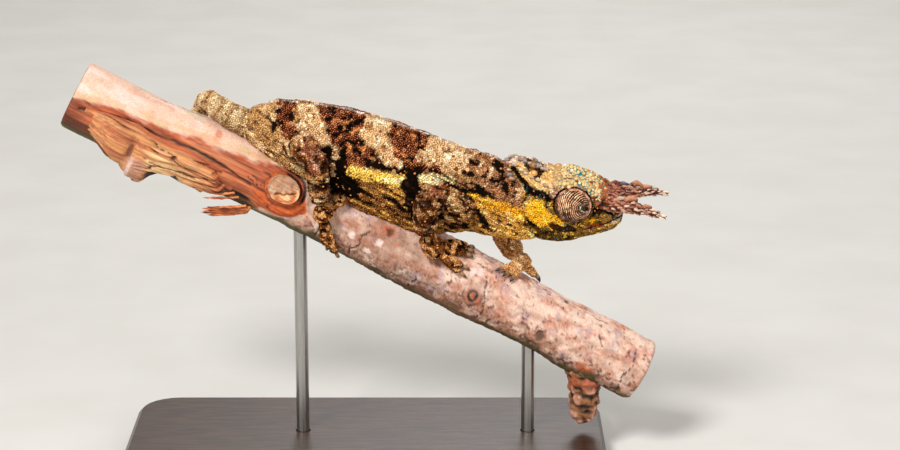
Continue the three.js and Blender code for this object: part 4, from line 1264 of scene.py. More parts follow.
def knobShape():
    rings = [  # place along, height of the middle, half width, half height
        (-0.5, 0.0, 0.3, 0.3), (-0.34, 0.06, 0.5, 0.46), (0.0, 0.14, 0.54, 0.66),
        (0.34, 0.3, 0.4, 0.78), (0.5, 0.46, 0.2, 0.5)]
    path = [(x, 0, z) for x, z, _, _ in rings]
    points, faces = loft(path, [(w, h) for _, _, w, h in rings], 6, (0, 0, 1), 0.25)
    mesh = bpy.data.meshes.new("knob")
    mesh.from_pydata([tuple(p) for p in points], [], faces)
    mesh.shade_flat()
    setNumbers(mesh, "dome", smoothStep(points[:, 2] + 0.2 * points[:, 0], 0.05, 0.85))
    setVectors(mesh, "patch", points * (0.5, 0.5, 0))
    return addPiece("knob", mesh)


# Along a horn, by the share of its length: its middle line, and its half height and half width.
class HornLine:
    def __init__(self, side):
        self.start, end = (np.array(horn[key]) * (1, side, 1) for key in ("root", "tip"))
        self.way = end - self.start
        self.radii = np.array(horn["core"])
        self.places = np.linspace(0, 1, len(self.radii))

    def at(self, share):
        share = np.asarray(share)[..., None]
        return self.start + self.way * share + np.array([0, 0, horn["bow"]]) * np.sin(np.pi * share)

    def halves(self, share):
        return [np.interp(share, self.places, self.radii[:, i]) for i in (0, 1)]


def buildHornCore(side):
    line, sides = HornLine(side), horn["sides"]
    steps = np.linspace(0, 1, horn["steps"])
    up, half = line.halves(steps)
    path = line.at(steps)
    points, faces = loft(path, np.stack([half, up], 1), sides, (0, 0, 1), 0.6)
    centre = np.vstack([np.repeat(path, sides, axis=0), path[[0, -1]]])
    points = points + (points - centre) * 0.22 * cloud(points, 0.9, 81 + side)[:, None]
    mesh = meshOf("hornCore", headPlace.outside(points), faces)
    setColours(mesh, "marking", mottle(
        "74281a",
        ("hornPink", cloud(points, 0.6, 83), 0.2, 0.7, 0.5),
        ("dark", cloud(points, 0.8, 84), 0.1, 0.6, 0.8)))
    return mesh


def hornKnobs(side):
    line = HornLine(side)
    ahead = line.way / np.linalg.norm(line.way)
    over = np.cross(np.cross(ahead, (0, 0, 1)), ahead)
    outer = np.cross(ahead, over) * -side
    places, outs, aims, sizes, shares, picked = [], [], [], [], [], []

    def addKnob(share, turn, size, sink, tone):
        up, half = line.halves(share)
        out = over * math.cos(turn) + outer * math.sin(turn)
        rim = over * math.cos(turn) * up + outer * math.sin(turn) * half
        sideways = np.cross(ahead, out)
        places.append(line.at(share) + rim * sink)
        aims.append(ahead + out * seeded.uniform(-0.1, 0.6) + sideways * seeded.uniform(-0.45, 0.45))
        outs.append(out - ahead * seeded.uniform(-0.1, 0.45) + sideways * seeded.uniform(-0.3, 0.3))
        sizes.append(size)
        shares.append(share)
        picked.append(tone)

    for row in range(horn["rows"]):
        share = 0.08 + 0.89 * row / (horn["rows"] - 1)
        girth = 2 * math.pi * np.interp(share, line.places, line.radii.mean(1))
        around = max(3, round(girth / horn["spread"]))
        for i in range(around):
            turn = 2 * math.pi * (i + 0.5 * (row % 2)) / around + seeded.uniform(-0.25, 0.25)
            size = np.array(horn["knob"]) * (1 - 0.38 * share) * seeded.uniform(0.75, 1.3)
            size *= seeded.uniform(0.8, 1.25, 3)
            pick = seeded.random()
            tone = "hornBrown" if pick < 0.38 else "hornPink" if pick < 0.74 else "hornRed"
            addKnob(share + seeded.uniform(-0.03, 0.03), turn, size, 0.8, tone)
    for share, turn, *size, tone in horn["largeKnobs"][side]:
        addKnob(share, math.radians(turn), np.array(size), 0.8, tone)
    turns, size = horn["tipKnobs"]
    for turn in turns:
        addKnob(0.99, math.radians(turn), np.array(size), 0.5, "hornPale")
    places, outs, aims, sizes, shares = (np.array(each) for each in (places, outs, aims, sizes, shares))
    pale = smoothStep(shares + 0.3 * seeded.standard_normal(len(shares)), 0.45, 1.0)
    colour = np.array([linear(tones[tone]) for tone in picked])
    colour = colour + (linear(tones["hornPale"]) - colour) * (0.65 * pale)[:, None]
    core = colour + (linear(tones["hornPale"]) - colour) * (0.2 + 0.5 * pale)[:, None]
    outs = unit(outs)
    around = np.arctan2(outs[:, 1], outs[:, 2]) / 7 + 0.5
    roots = np.stack([0.02 + 0.9 * shares, 0.02 + 0.9 * around, 0 * shares], 1)
    return pointList(
        "hornKnobs", headPlace.outside(places), outs @ headPlace.axes.T, aims @ headPlace.axes.T, sizes,
        {"marking": colour, "core": core, "odd": colour * 0.35}, roots)


# Blunt tubercles on the head: along the casque's edges, down its rear, and on the snout below the horns.
tubercles = {  # line in the head's frame, how many, size, tones
    "edge": ([(-16.4, 4.0), (-13, 3.2), (-9, 2.2), (-6, 1.7)], 9, 0.95, ("hornPale", "pink", "paleRing")),
    "rear": ([(-16.9, 4.6), (-17.2, 3.2), (-16.6, 1.6), (-15.4, 0.4)], 6, 1.15, ("hornPale", "ash", "pink")),
    "top": ([(-16.6, 4.6), (-14.0, 4.6), (-10.5, 4.2), (-8.4, 3.7)], 9, 0.8, ("ash", "hornPale", "ash")),
    "snout": ([(4.8, 1.8), (6.4, 0.6), (7.0, -0.8)], 5, 1.0, ("hornRed", "rust", "dark")),
    "lip": ([(6.6, 1.8), (8.6, 0.2), (10.4, -0.6)], 5, 0.9, ("hornRed", "dark", "hornBrown")),
}


besideHead = 14  # from the head's middle plane, where the search for its skin starts


def headKnobs(tree):
    places, outs, aims, sizes, picked = [], [], [], [], []
    for line, count, size, shades in tubercles.values():
        profile = np.array(line)
        steps = np.linspace(0, len(profile) - 1, count)
        for side in (-1, 1):
            for i, step in enumerate(steps):
                x, z = (np.interp(step, np.arange(len(profile)), profile[:, k]) for k in (0, 1))
                start = headPlace.outside([x + seeded.uniform(-0.2, 0.2), side * besideHead, z])
                inward = Vector(headPlace.axes @ np.array([0, -side, 0]))
                spot, normal, _, _ = tree.ray_cast(Vector(start * toMetres), inward)
                if spot is None:
                    onLine = headPlace.outside([x, 0, z]) * toMetres
                    spot, normal, _, _ = tree.find_nearest(Vector(onLine))
                places.append(np.array(spot) / toMetres)
                outs.append(np.array(normal) + headPlace.axes @ np.array([-0.3, 0, 0.35]))
                aim = [1, seeded.uniform(-0.3, 0.3), seeded.uniform(0, 0.4)]
                aims.append(headPlace.axes @ aim)
                sizes.append(size * seeded.uniform(0.75, 1.2) * np.array([1, 0.85, 1.2]))
                picked.append(shades[i % 3])
    colour = np.array([linear(tones[tone]) for tone in picked])
    roots = [(0.02 + 0.9 * i / len(places), 0.5, 0) for i in range(len(places))]
    return pointList(
        "headKnobs", np.array(places), unit(np.array(outs)), np.array(aims), np.array(sizes),
        {"marking": colour * 0.8, "core": colour * 1.1, "odd": colour * 0.35}, roots)


def makeHornPaint():
    paint = Paint("hornScales", Roughness=0.42, Specular_IOR_Level=0.4)
    dome, speck = paint.read("dome"), paint.read("speck")
    fine, grain = paint.noise(7000, 3), paint.noise(2600, 4)
    marking, core = paint.read("marking", "Color"), paint.read("core", "Color")
    colour = paint.blend(paint.step(dome, 0.6, 1), marking, core)
    colour = paint.blend(paint.step(dome + grain * 0.5, 0.25, 0.85), shade("4c1408"), colour)
    colour = paint.darken(colour, fine * 0.7 + speck * 0.4 + 0.4)
    return paint.surface(Base_Color=colour, Normal=paint.bump(fine + grain, 0.14)).material


claw = {
    "toes": range(1, 6),
    "steps": 14,
    "sides": 10,
    "parts": ((0, 0.3), (0.3, 0.7), (0.7, 1)),  # root, belly and tip, as shares of its length
    "places": (-0.35, 0.1, 0.5, 0.85, 1.12),  # along its CAD node, past both ends
    "radii": (0.5, 0.5, 0.4, 0.24, 0.05),
    "curl": 1.2,  # of the node's own bend
}


def buildClaws(foot):
    forms, rings = [], np.linspace(claw["places"][0], claw["places"][-1], claw["steps"])
    radii = np.interp(rings, claw["places"], claw["radii"])
    steps = rings[:, None]
    footMiddle = pointsOf(cadNodes[foot].data).mean(0)
    for number in claw["toes"]:
        own = pointsOf(cadNodes[f"{foot}_claw_{number}"].data)
        middle = own.mean(0)
        axis = longAxis(own)
        axis = axis if axis @ (middle - footMiddle) > 0 else -axis
        along = (own - middle) @ axis
        low, high = along.min(), along.max()
        root, belly, tip = (
            own[(along >= low + a * (high - low)) & (along <= low + b * (high - low))].mean(0)
            for a, b in claw["parts"])
        bend = belly - (root + tip) / 2
        path = root * (1 - steps) + tip * steps + bend * 4 * steps * (1 - steps) * claw["curl"]
        up = np.cross(np.cross(axis, bend), axis)
        half = np.stack([radii * 0.85, radii * 1.1], 1)
        forms.append(loft(path, half, claw["sides"], up / np.linalg.norm(up), 0.5))
    mesh = meshOf(foot + "_claws", *joinedForm(forms))
    share = np.append(np.repeat(np.linspace(0, 1, claw["steps"]), claw["sides"]), (0, 1))
    setNumbers(mesh, "along", np.tile(share, len(forms)))
    return mesh


def makeClawPaint():
    paint = Paint("chameleonClaw", Roughness=0.3)
    along, fine = paint.read("along"), paint.noise(4000, 3)
    colour = paint.blend(paint.step(along + fine * 0.3, 0.25, 0.8), shade("a07850"), shade("20140c"))
    return paint.surface(Base_Color=colour, Normal=paint.bump(fine, 0.03)).material


print("eyes and horns")
skinTree = BVHTree.FromObject(skin, bpy.context.evaluated_depsgraph_get())
granulePaint, eyePaint, hornPaint = makeGranulePaint(), makeEyePaint(), makeHornPaint()
placedTree = makePlacedTree()
knob = knobShape()
for side, word in ((-1, "right"), (1, "left")):
    ball = addPiece(word + "_eye_ringed_skin", buildTurret(side), granulePaint)
    unwrap(ball)
    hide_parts(word + "_eye_turret")
    iris = addPiece(word + "_eyeball", buildEyeball(side), eyePaint)
    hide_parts(word + "_eye")
    lifts = socketLifts(skinTree, side)
    folds = [
        addPiece(f"{word}_eye_fold_{i + 1}", buildFold("fold", lifts, side, fold, 2 * i), granulePaint)
        for i, fold in enumerate(orbit["folds"])]
    core = addPiece(word + "_horn_core", buildHornCore(side), hornPaint)
    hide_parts(word + "_horn")
    seeds = addPiece(word + "HornSeeds", hornKnobs(side))
    knobs = grow(word + "_horn_scales", seeds, placedTree, {
        "Shape": knob, "Patch": coatPatch * 3, "Finish": hornPaint})
    bpy.data.objects.remove(seeds)
    for slot, pieces in (("skin", [ball, *folds]), ("eye", [iris]), ("horn", [core, knobs])):
        for piece in pieces:
            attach(piece, "root")
seeds = addPiece("headSeeds", headKnobs(skinTree))
tuberclePiece = grow("coat_head_tubercles", seeds, placedTree, {
    "Shape": knob, "Patch": coatPatch, "Finish": hornPaint})
bpy.data.objects.remove(seeds)
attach(tuberclePiece, "root")
bpy.data.objects.remove(knob)

print("claws")
clawPaint = makeClawPaint()
for foot in feet:
    claws = addPiece(foot + "_claws", buildClaws(foot), clawPaint)
    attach(claws, "root")
    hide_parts(*[f"{foot}_claw_{number}" for number in claw["toes"]])


# The branch. Places on it are given by the distance along it and by the turn from its top towards the
# near side, in degrees.
branch = {
    "ends": (-87.0, 67.3),
    "radius": 8.0,
    "degree": math.radians(8.0),  # one degree round it, in millimetres over the bark
    "relief": (-1.6, 1.25),  # the least and the most
    "endRings": 22,
    "step": 0.36,
    "sides": 140,
    "barkEdge": [  # along, degrees round: the bark is torn off below this line
        (-87, 68), (-84, 63.6), (-79.3, 55.7), (-74.6, 48.5), (-69.3, 47.6), (-62.5, 46.4), (-55.5, 42.3),
        (-48.3, 44.6), (-42.4, 40.1), (-37, 26), (-30, 18), (-26, 15)],
    "groove": [  # the deep line along the top of the torn wood
        (-84.5, 82), (-82.7, 77), (-77.5, 66.4), (-71.2, 58.6), (-65.5, 62.3), (-57.2, 62), (-52.5, 66.8),
        (-45.2, 74.4), (-42.9, 79.1), (-40, 82)],
    "bareEnd": [  # degrees round, along
        (14, -31.5), (45, -27.5), (70, -25.6), (85, -25.2), (100, -27.5), (116, -31)],
    "bareBelow": [(-87, 150), (-38, 150), (-34, 116), (-24, 112)],
    "stub": (-32.4, 61),
    "bud": (52.4, 166),
    "scar": (20.2, 80),
    "ring": (39.7, 89),
    "knot": (-4.6, 44),
}


def sagAt(along):
    return -2.5 * smoothStep(-along, 44, 71)


def swellAt(along):
    wave = 0.25 * np.sin(along * 0.09 + 0.6) + 0.3 * np.maximum(0, (-along - 30) / 57)
    return wave + 0.4 * smoothStep(-along, 70, 84)


def onBranch(along, around, radius):  # the part's frame
    turn = np.radians(around)
    up = radius * np.cos(turn) + sagAt(along)
    return branchPlace.outside(np.stack([along, -radius * np.sin(turn), up], 1))


def onBark(points):  # along the branch, degrees round it, and distance from its middle
    own = branchPlace.inside(points)
    up = own[:, 2] - sagAt(own[:, 0])
    return own[:, 0], np.degrees(np.arctan2(-own[:, 1], up)), np.hypot(own[:, 1], up)


def tableAt(values, table):
    places, results = zip(*table)
    return np.interp(values, places, results)


# How far inside the bare wood a place is, in millimetres. It is negative on the bark.
def bareDepth(along, around, rough):
    above = (around - tableAt(along, branch["barkEdge"])) * branch["degree"]
    ahead = tableAt(around, branch["bareEnd"]) - along
    below = (tableAt(along, branch["bareBelow"]) - around) * branch["degree"]
    return np.minimum(np.minimum(above, ahead), below) + 0.7 * rough


barkCracks = [  # half width, depth, points as (along, degrees round)
    (0.26, 0.55, [(42.1, 3), (44.3, 2), (46.1, 5)]),
    (0.32, 0.6, [(48.0, 1), (51, 4), (54.2, 3)]),
    (0.26, 0.45, [(59.2, -13), (61.7, -10)]),
    (0.24, 0.45, [(-9.2, 60), (-10.5, 76), (-9.8, 92), (-11.5, 106), (-10.8, 124)]),
    (0.18, 0.3, [(21.4, 36), (22.4, 60), (24.4, 94), (23.5, 118)]),
    (0.16, 0.26, [(-20.5, 96), (-20.2, 118), (-21, 140)]),
    (0.16, 0.25, [(5.5, 84), (6.3, 104), (5.2, 126)]),
    (0.22, 0.35, [(52.6, 40), (53.6, 47), (54.6, 54)]),
    (0.16, 0.28, [(62.5, 30), (63.4, 58), (62.4, 88), (63.2, 118)]),
    (0.16, 0.28, [(33.0, -20), (34.2, -48), (33.2, -80), (34.0, -120)]),
    (0.16, 0.28, [(-24.0, -30), (-22.8, -70), (-24.0, -112)]),
    (0.18, 0.25, [(-70.0, -10), (-64, -14), (-57, -9)]),
    (0.2, 0.5, [(-41.5, 70), (-39.0, 74), (-37.4, 72)]),
    (0.16, 0.4, [(-40.5, 64), (-38.6, 68)]),
]

# The dark olive tone 4a4a20 is painted shade for the underside of the branch.
barkTones = {
    "cream": "ecc8b2", "rose": "dca088", "lavender": "b898a0", "brown": "9a6448", "umber": "4e2f1c",
    "undersideShade": "4a4a20", "black": "120a06", "wood": "b8603a", "woodLight": "dd9058", "woodDark": "5e2610",
    "orange": "cc5c24", "pinkWhite": "f2d8cc", "olive": "cdb994", "blush": "ecc2a8", "tan": "d9a067",
    "straw": "f4cc92", "smoothWood": "cb7d54", "rust": "b0481c",
}


def barkMix(colour, *rows):
    return mottle(colour, *rows, palette=barkTones)


def spotOnBark(along, around, place):  # millimetres over the bark from a place
    return np.hypot(along - place[0], (around - place[1]) * branch["degree"])


def overBark(line):  # places along and round the branch, as millimetres
    return [(x, turn * branch["degree"]) for x, turn in line]


def edgeNoise(own):  # how the edge of the bare wood wanders
    return cloud(own, (3.4, 1.6, 1.6), 91, 3)


# The bark's relief in millimetres, with masks that its colours use.
def barkRelief(points):
    along, around, _ = onBark(points)
    own = branchPlace.inside(points)
    arc = around * branch["degree"]
    flat = np.stack([along, arc], 1)
    bare = smoothStep(bareDepth(along, around, edgeNoise(own)), -0.2, 0.3)
    old = smoothStep(along, -38, -18)  # the bark is smooth at the tail end and rough elsewhere
    lumps = cloud(own, (4.5, 3, 3), 92, 3)
    grains = cloud(own, (0.9, 0.8, 0.8), 93, 2)
    plates = cloud(own, (2.0, 3.4, 3.4), 94, 2)
    relief = (0.1 + 0.3 * old) * lumps + (0.03 + 0.12 * old) * grains
    relief -= 0.25 * old * hill(plates, 0.12, 0.06)
    cracks = np.zeros(len(points))
    wander = flat + 0.25 * np.stack([cloud(own, 1.1, 95), cloud(own, 1.1, 96)], 1)
    for half, depth, line in barkCracks:
        away = nearLine(wander, overBark(line))
        cracks = np.maximum(cracks, hill(away, 0, half))
        relief += 0.14 * hill(away, 2.2 * half, 1.2 * half) - depth * hill(away, 0, half)
    fibres = cloud(own, (9, 0.55, 0.55), 97, 3)
    smooth = hill(along, -52, 9) * hill(around, 58, 16)  # bare wood that was planed by the tear
    wood = -0.4 + (0.18 - 0.1 * smooth) * fibres + 0.14 * cloud(own, (5, 2, 2), 98)
    relief = relief * (1 - bare) + bare * wood
    drift = 0.3 * np.stack([0 * along, cloud(own, (6, 1, 1), 90)], 1)
    groove = nearLine(flat + drift, overBark(branch["groove"]))
    relief -= 0.9 * hill(groove, 0, 0.42)
    collar = spotOnBark(along, around, branch["stub"])
    stubPlace = overBark([branch["stub"]])[0]
    facing = np.arctan2(-(arc - stubPlace[1]), along - stubPlace[0])
    lower = 0.5 + 0.5 * np.cos(facing + 0.9)  # 1 to the lower right of the stub
    relief += (0.2 + 1.0 * lower) * hill(collar, 5.8, 1.6) + 0.5 * hill(collar, 3, 3)
    relief += 0.25 * lower * hill(collar, 5, 2.2) * cloud(own, 0.9, 89, 2)
    slot = hill(collar, 5.3, 0.4) * smoothStep(np.cos(facing - 0.75), 0.35, 0.7)
    relief -= 0.7 * slot
    relief += 1.0 * hill(spotOnBark(along, around, branch["bud"]), 0, 6.5)
    hollow = hill(along, -41.0, 4.2) * hill(around, 122, 14)
    relief -= 1.1 * hollow
    scar = hill(along, branch["scar"][0], 3.4) * hill(around, branch["scar"][1], 17)
    fromScar = np.hypot(along - branch["scar"][0], (arc - 10.9) * 0.8)
    curls = np.sin(2.2 * fromScar * 2 + 2 * cloud(own, 1.8, 99, 2))
    relief += scar * (0.35 * curls + 0.35)
    ring = spotOnBark(along, around, branch["ring"])
    relief += 0.3 * hill(ring, 1.9, 0.6) - 0.35 * hill(ring, 0.6, 0.8)
    knot = spotOnBark(along, around, branch["knot"])
    relief += 0.3 * hill(knot, 1.8, 1.0) - 0.3 * hill(knot, 0, 0.8)
    masks = {
        "bare": bare, "old": old, "lumps": lumps, "plates": plates, "cracks": cracks, "fibres": fibres,
        "hollow": hollow, "scar": scar, "curls": curls, "ring": ring, "knot": knot, "collar": collar,
        "lower": lower, "slot": slot, "smooth": smooth, "groove": groove}
    return relief, masks


barkSpots = {  # how ragged, where a spot starts and is full, how much shows, (along, round, radius) of each
    "orange": (0.5, 0.2, 0.8, 0.6, [(58, -4, 1.6), (52.6, 105, 3.0), (-2, 60, 1.6), (-52, 24, 2.0)]),
    "pinkWhite": (0.3, 0.1, 0.4, 0.85, [
        (19.4, 36, 1.2), (17.8, 40, 1.2), (-7.6, 94, 1.2), (-12.6, 80, 1.2), (-6, 70, 1.2)]),
}


def paintBark(points, masks):
    along, around, _ = onBark(points)
    own = branchPlace.inside(points)
    fibre, collar, scar, knot = (masks[name] for name in ("fibres", "collar", "scar", "knot"))
    # low rises towards the branch's underside: the rows below that add it make the bark darker and browner
    # there as painted shade.
    low = smoothStep(np.abs(around) + 14 * masks["lumps"], 62, 150)
    patch, speck = cloud(own, (3.2, 2.4, 2.4), 101, 3), cloud(own, 0.8, 102, 2)
    # shaded is painted shadow that the animal casts on the bark below and beside its body; it browns the old
    # bark there.
    shaded = hill(along, -4, 16) * smoothStep(around, 15, 40) * (1 - smoothStep(around, 85, 120))
    old = barkMix(
        barkTones["cream"],
        ("rose", patch + 0.5 * low, -0.2, 0.4, 0.85),
        ("lavender", cloud(own, 2.6, 103, 3) + 0.2 * low, 0.15, 0.6, 0.65),
        ("brown", speck + 0.5 * patch + 0.9 * low - 0.2, 0.15, 0.8, 0.55),
        ("pinkWhite", cloud(own, 1.4, 104, 3) - 0.4 * low, 0.3, 0.7, 0.45),
        ("umber", -speck + 0.7 * low + 0.3 * patch, 0.5, 0.9, 0.92),
        ("rust", cloud(own, (1.6, 1.1, 1.1), 108, 3), 0.45, 0.75, 0.6),
        ("umber", hill(masks["plates"], 0.12, 0.06) * (0.4 + 0.6 * low), 0.3, 1, 0.75),
        ("brown", shaded + 0.5 * patch, 0.1, 1.0, 0.6))
    smooth = barkMix(
        barkTones["blush"],
        ("pinkWhite", cloud(own, (5, 3, 3), 109, 2), 0.1, 0.6, 0.7),
        ("rose", patch + 0.3 * low, 0.0, 0.6, 0.5),
        ("olive", cloud(own, (7, 3, 3), 105, 2), 0.35, 0.7, 0.65),
        ("brown", speck * 0.7 + low, 0.7, 1.3, 0.7))
    # Painted shadow on the branch's underside below the animal.
    shadowBelowBody = hill(along, 4, 26) * smoothStep(around, 60, 100) * (0.8 + 0.5 * speck)
    # Painted shadow in patches on the bark beside and below the body.
    dappledShadow = smoothStep(around, 20, 60) * (0.6 + 0.7 * cloud(own, (2.4, 1.6, 1.6), 112, 3))
    depth = bareDepth(along, around, edgeNoise(own))
    bark = barkMix(
        smooth + (old - smooth) * masks["old"][:, None],
        # Dark olive painted shade on the branch's underside.
        ("undersideShade", low + 0.3 * patch, 0.55, 0.95, 0.9),
        ("umber", shadowBelowBody, 0.35, 1.1, 0.75),
        ("brown", dappledShadow * smoothStep(along, -24, -10), 0.3, 1.0, 0.5),
        ("tan", hill(depth, -1.0, 1.3) * (along < -38) + 0.3 * patch, 0.3, 1.1, 0.5))
    frayed = masks["lower"] * hill(collar, 6.2, 2.2) * (0.5 + cloud(own, 0.8, 88, 2))
    # Painted shade on the bare wood under the hanging left end of the torn plate.
    shadeUnderPlate = smoothStep(around, 88, 112) * smoothStep(-along, 66, 74)
    byStub = smoothStep(along, -33, -30) * smoothStep(around, 30, 50)
    wood = barkMix(
        barkTones["wood"],
        ("woodLight", fibre + 0.4 * cloud(own, (8, 2.5, 2.5), 106), 0.1, 0.8, 0.6),
        ("woodDark", -fibre, 0.25, 0.7, 0.8),
        ("smoothWood", masks["smooth"] + 0.3 * fibre, 0.3, 0.8, 0.85),
        ("rust", hill(depth, 0.7, 0.7) + 0.3 * fibre, 0.4, 1.0, 0.6),
        ("rose", 1 - depth / 1.3 + 0.5 * cloud(own, 1.6, 107), 0.45, 1.0, 0.7),
        ("woodDark", smoothStep(along, -78, -86) + 0.4 * fibre, 0.4, 1.0, 0.5),
        ("woodDark", shadeUnderPlate + 0.3 * fibre, 0.3, 0.9, 0.9),
        ("orange", masks["lower"] * hill(collar, 6.2, 2.6) + 0.3 * fibre, 0.2, 0.6, 0.95),
        ("woodDark", hill(collar, 4.3, 0.5) + 0.3 * fibre, 0.6, 1.0, 0.75),
        ("woodDark", frayed, 0.5, 0.9, 0.85),
        # Dark olive painted shade on the underside of the bare wood.
        ("undersideShade", around / 180, 0.66, 0.78, 0.9),
        ("orange", byStub + 0.2 * fibre, 0.2, 0.8, 0.8))
    colour = barkMix(
        bark + (wood - bark) * masks["bare"][:, None],
        ("black", hill(masks["groove"], 0, 0.45) + 0.25 * fibre, 0.35, 0.9, 0.9),
        ("black", masks["slot"], 0.2, 0.7, 0.95),
        ("black", masks["cracks"], 0.35, 0.8, 0.92),
        # The hollow at the right end of the torn plate is painted black: painted shade in the cavity.
        ("black", masks["hollow"] + 0.2 * patch, 0.35, 0.7, 1),
        ("brown", scar, 0.3, 0.7, 0.7),
        ("orange", scar * (0.5 + 0.5 * masks["curls"]), 0.5, 0.85, 0.7),
        ("black", scar * (0.5 - 0.5 * masks["curls"]), 0.35, 0.7, 0.9),
        ("umber", 1 - masks["ring"] / 2.4 + 0.3 * speck, 0.2, 0.6, 0.8),
        ("orange", 1 - knot / 2.6 + 0.5 * patch, 0.2, 0.7, 0.6),
        ("umber", 1 - knot / 1.4 + 0.3 * speck, 0.1, 0.5, 0.8))
    for tone, (mottled, least, most, amount, spots) in barkSpots.items():
        ragged = mottled * (patch if tone == "orange" else speck)
        for *place, size in spots:
            inside = 1 - spotOnBark(along, around, place) / size
            colour = barkMix(colour, (tone, inside + ragged, least, most, amount))
    return colour


def buildBranch():
    low, high = branch["ends"]
    along = np.arange(low, high, branch["step"])
    along[-1] = high
    sides = branch["sides"]
    rows, turns = gridOf(along, 360 * np.arange(sides) / sides - 180)
    radius = branch["radius"] + swellAt(rows)
    relief, masks = barkRelief(onBranch(rows, turns, radius))
    atEnd = np.minimum(rows - low, high - rows)
    relief = np.clip(relief, *branch["relief"]) - 0.5 * hill(atEnd, 0, 0.35)
    rounds = [onBranch(rows, turns, radius + relief)]
    colour = paintBark(rounds[0], masks)
    faces = tubeFaces(len(along), sides)[:-2 * sides]
    count = len(colour)
    endRings = np.linspace(0.985, 0.02, branch["endRings"])  # the sawn ends, from the rim to the middle
    for end in (0, len(along) - 1):
        rim = rounds[0][end * sides:(end + 1) * sides]
        middle = rim.mean(0)
        outward = branchAxes[:, 0] * (-1 if end == 0 else 1)
        before = np.arange(end * sides, (end + 1) * sides)
        for ring in endRings:
            spots = middle + (rim - middle) * ring
            depth = 0.12 * smoothStep(ring, 1, 0.9) + 0.04 * cloud(spots, 0.7, 111) - 0.5 * (ring < 0.03)
            rounds.append(spots + outward * depth[:, None] * 0.8)
            inside = np.arange(count, count + sides)
            for i in range(sides):
                j = (i + 1) % sides
                face = (before[i], before[j], inside[j], inside[i])
                faces.append(face if end == 0 else face[::-1])
            count += sides
            before = inside
        rounds.append(middle[None])
        for i in range(sides):
            face = (before[i], before[(i + 1) % sides], count)
            faces.append(face if end == 0 else face[::-1])
        count += 1
    points = np.vstack(rounds)
    mesh = meshOf("branchBark", points, faces)
    extra = len(points) - len(colour)
    setColours(mesh, "marking", np.vstack([colour, np.tile(linear(barkTones["tan"]), (extra, 1))]))
    setNumbers(mesh, "sawn", np.arange(len(points)) >= len(colour))
    setNumbers(mesh, "bareWood", np.append(masks["bare"], np.ones(extra)))
    own = branchPlace.inside(points)
    setNumbers(mesh, "fromPith", np.hypot(own[:, 1] - 0.8, own[:, 2] - sagAt(own[:, 0]) + 0.5))
    return mesh


def makeBarkPaint():
    paint = Paint("branchBark", Roughness=0.75)
    marking, sawn, bare = paint.read("marking", "Color"), paint.read("sawn"), paint.read("bareWood")
    grains = paint.noise(1500, 4)
    fine = paint.noise(5200, 4)
    streak = paint.noise(1, 4, paint.read("grain", "Vector"), (90, 1900, 1900))
    bark = paint.darken(marking, paint.step(fine, 0.25, 0.75) * 0.45 + grains * 0.5 + 0.5)
    wood = paint.darken(marking, paint.step(streak, 0.3, 0.7) * 0.55 + 0.66)
    rings = paint.read("fromPith") + paint.noise(140, 3) * 1.2
    years = paint.add("ShaderNodeMath", {"operation": "SINE"}, {0: rings * 9.5})
    sawnWood = paint.blend(paint.step(years + fine, 0.4, 1.4), shade("d3a06c"), shade("b07c4c"))
    nearBark = paint.step(paint.read("fromPith") + grains, 7.6, 8.2)
    sawnWood = paint.blend(nearBark, sawnWood, shade("5c3a26"))
    height = fine * 0.5 + grains * 0.6 + streak * bare
    rough = paint.add("ShaderNodeMapRange", None, {"Value": fine, "To Min": 0.6, "To Max": 0.9})
    colour = paint.blend(sawn, paint.blend(bare, bark, wood), sawnWood)
    return paint.surface(Base_Color=colour, Normal=paint.bump(height, 0.25, 0.9), Roughness=rough).material


def setGrain(mesh):  # places along and across the branch, so that wood fibres follow it
    setVectors(mesh, "grain", branchPlace.inside(pointsOf(mesh)) * toMetres)


# The oval stub of a sawn-off side branch, with bark rolled up round it.
stub = {
    "half": (4.0, 3.35),
    "rise": 2.3,
    "rings": 40,
    "sides": 84,
    "face": 0.62,  # the share of the rings that lies on the sawn face
    "crack": [(-1.3, 1.9), (-0.4, 1.2), (0.5, 1.4), (1.2, 0.7), (2.2, 0.4), (2.9, -0.5)],
}


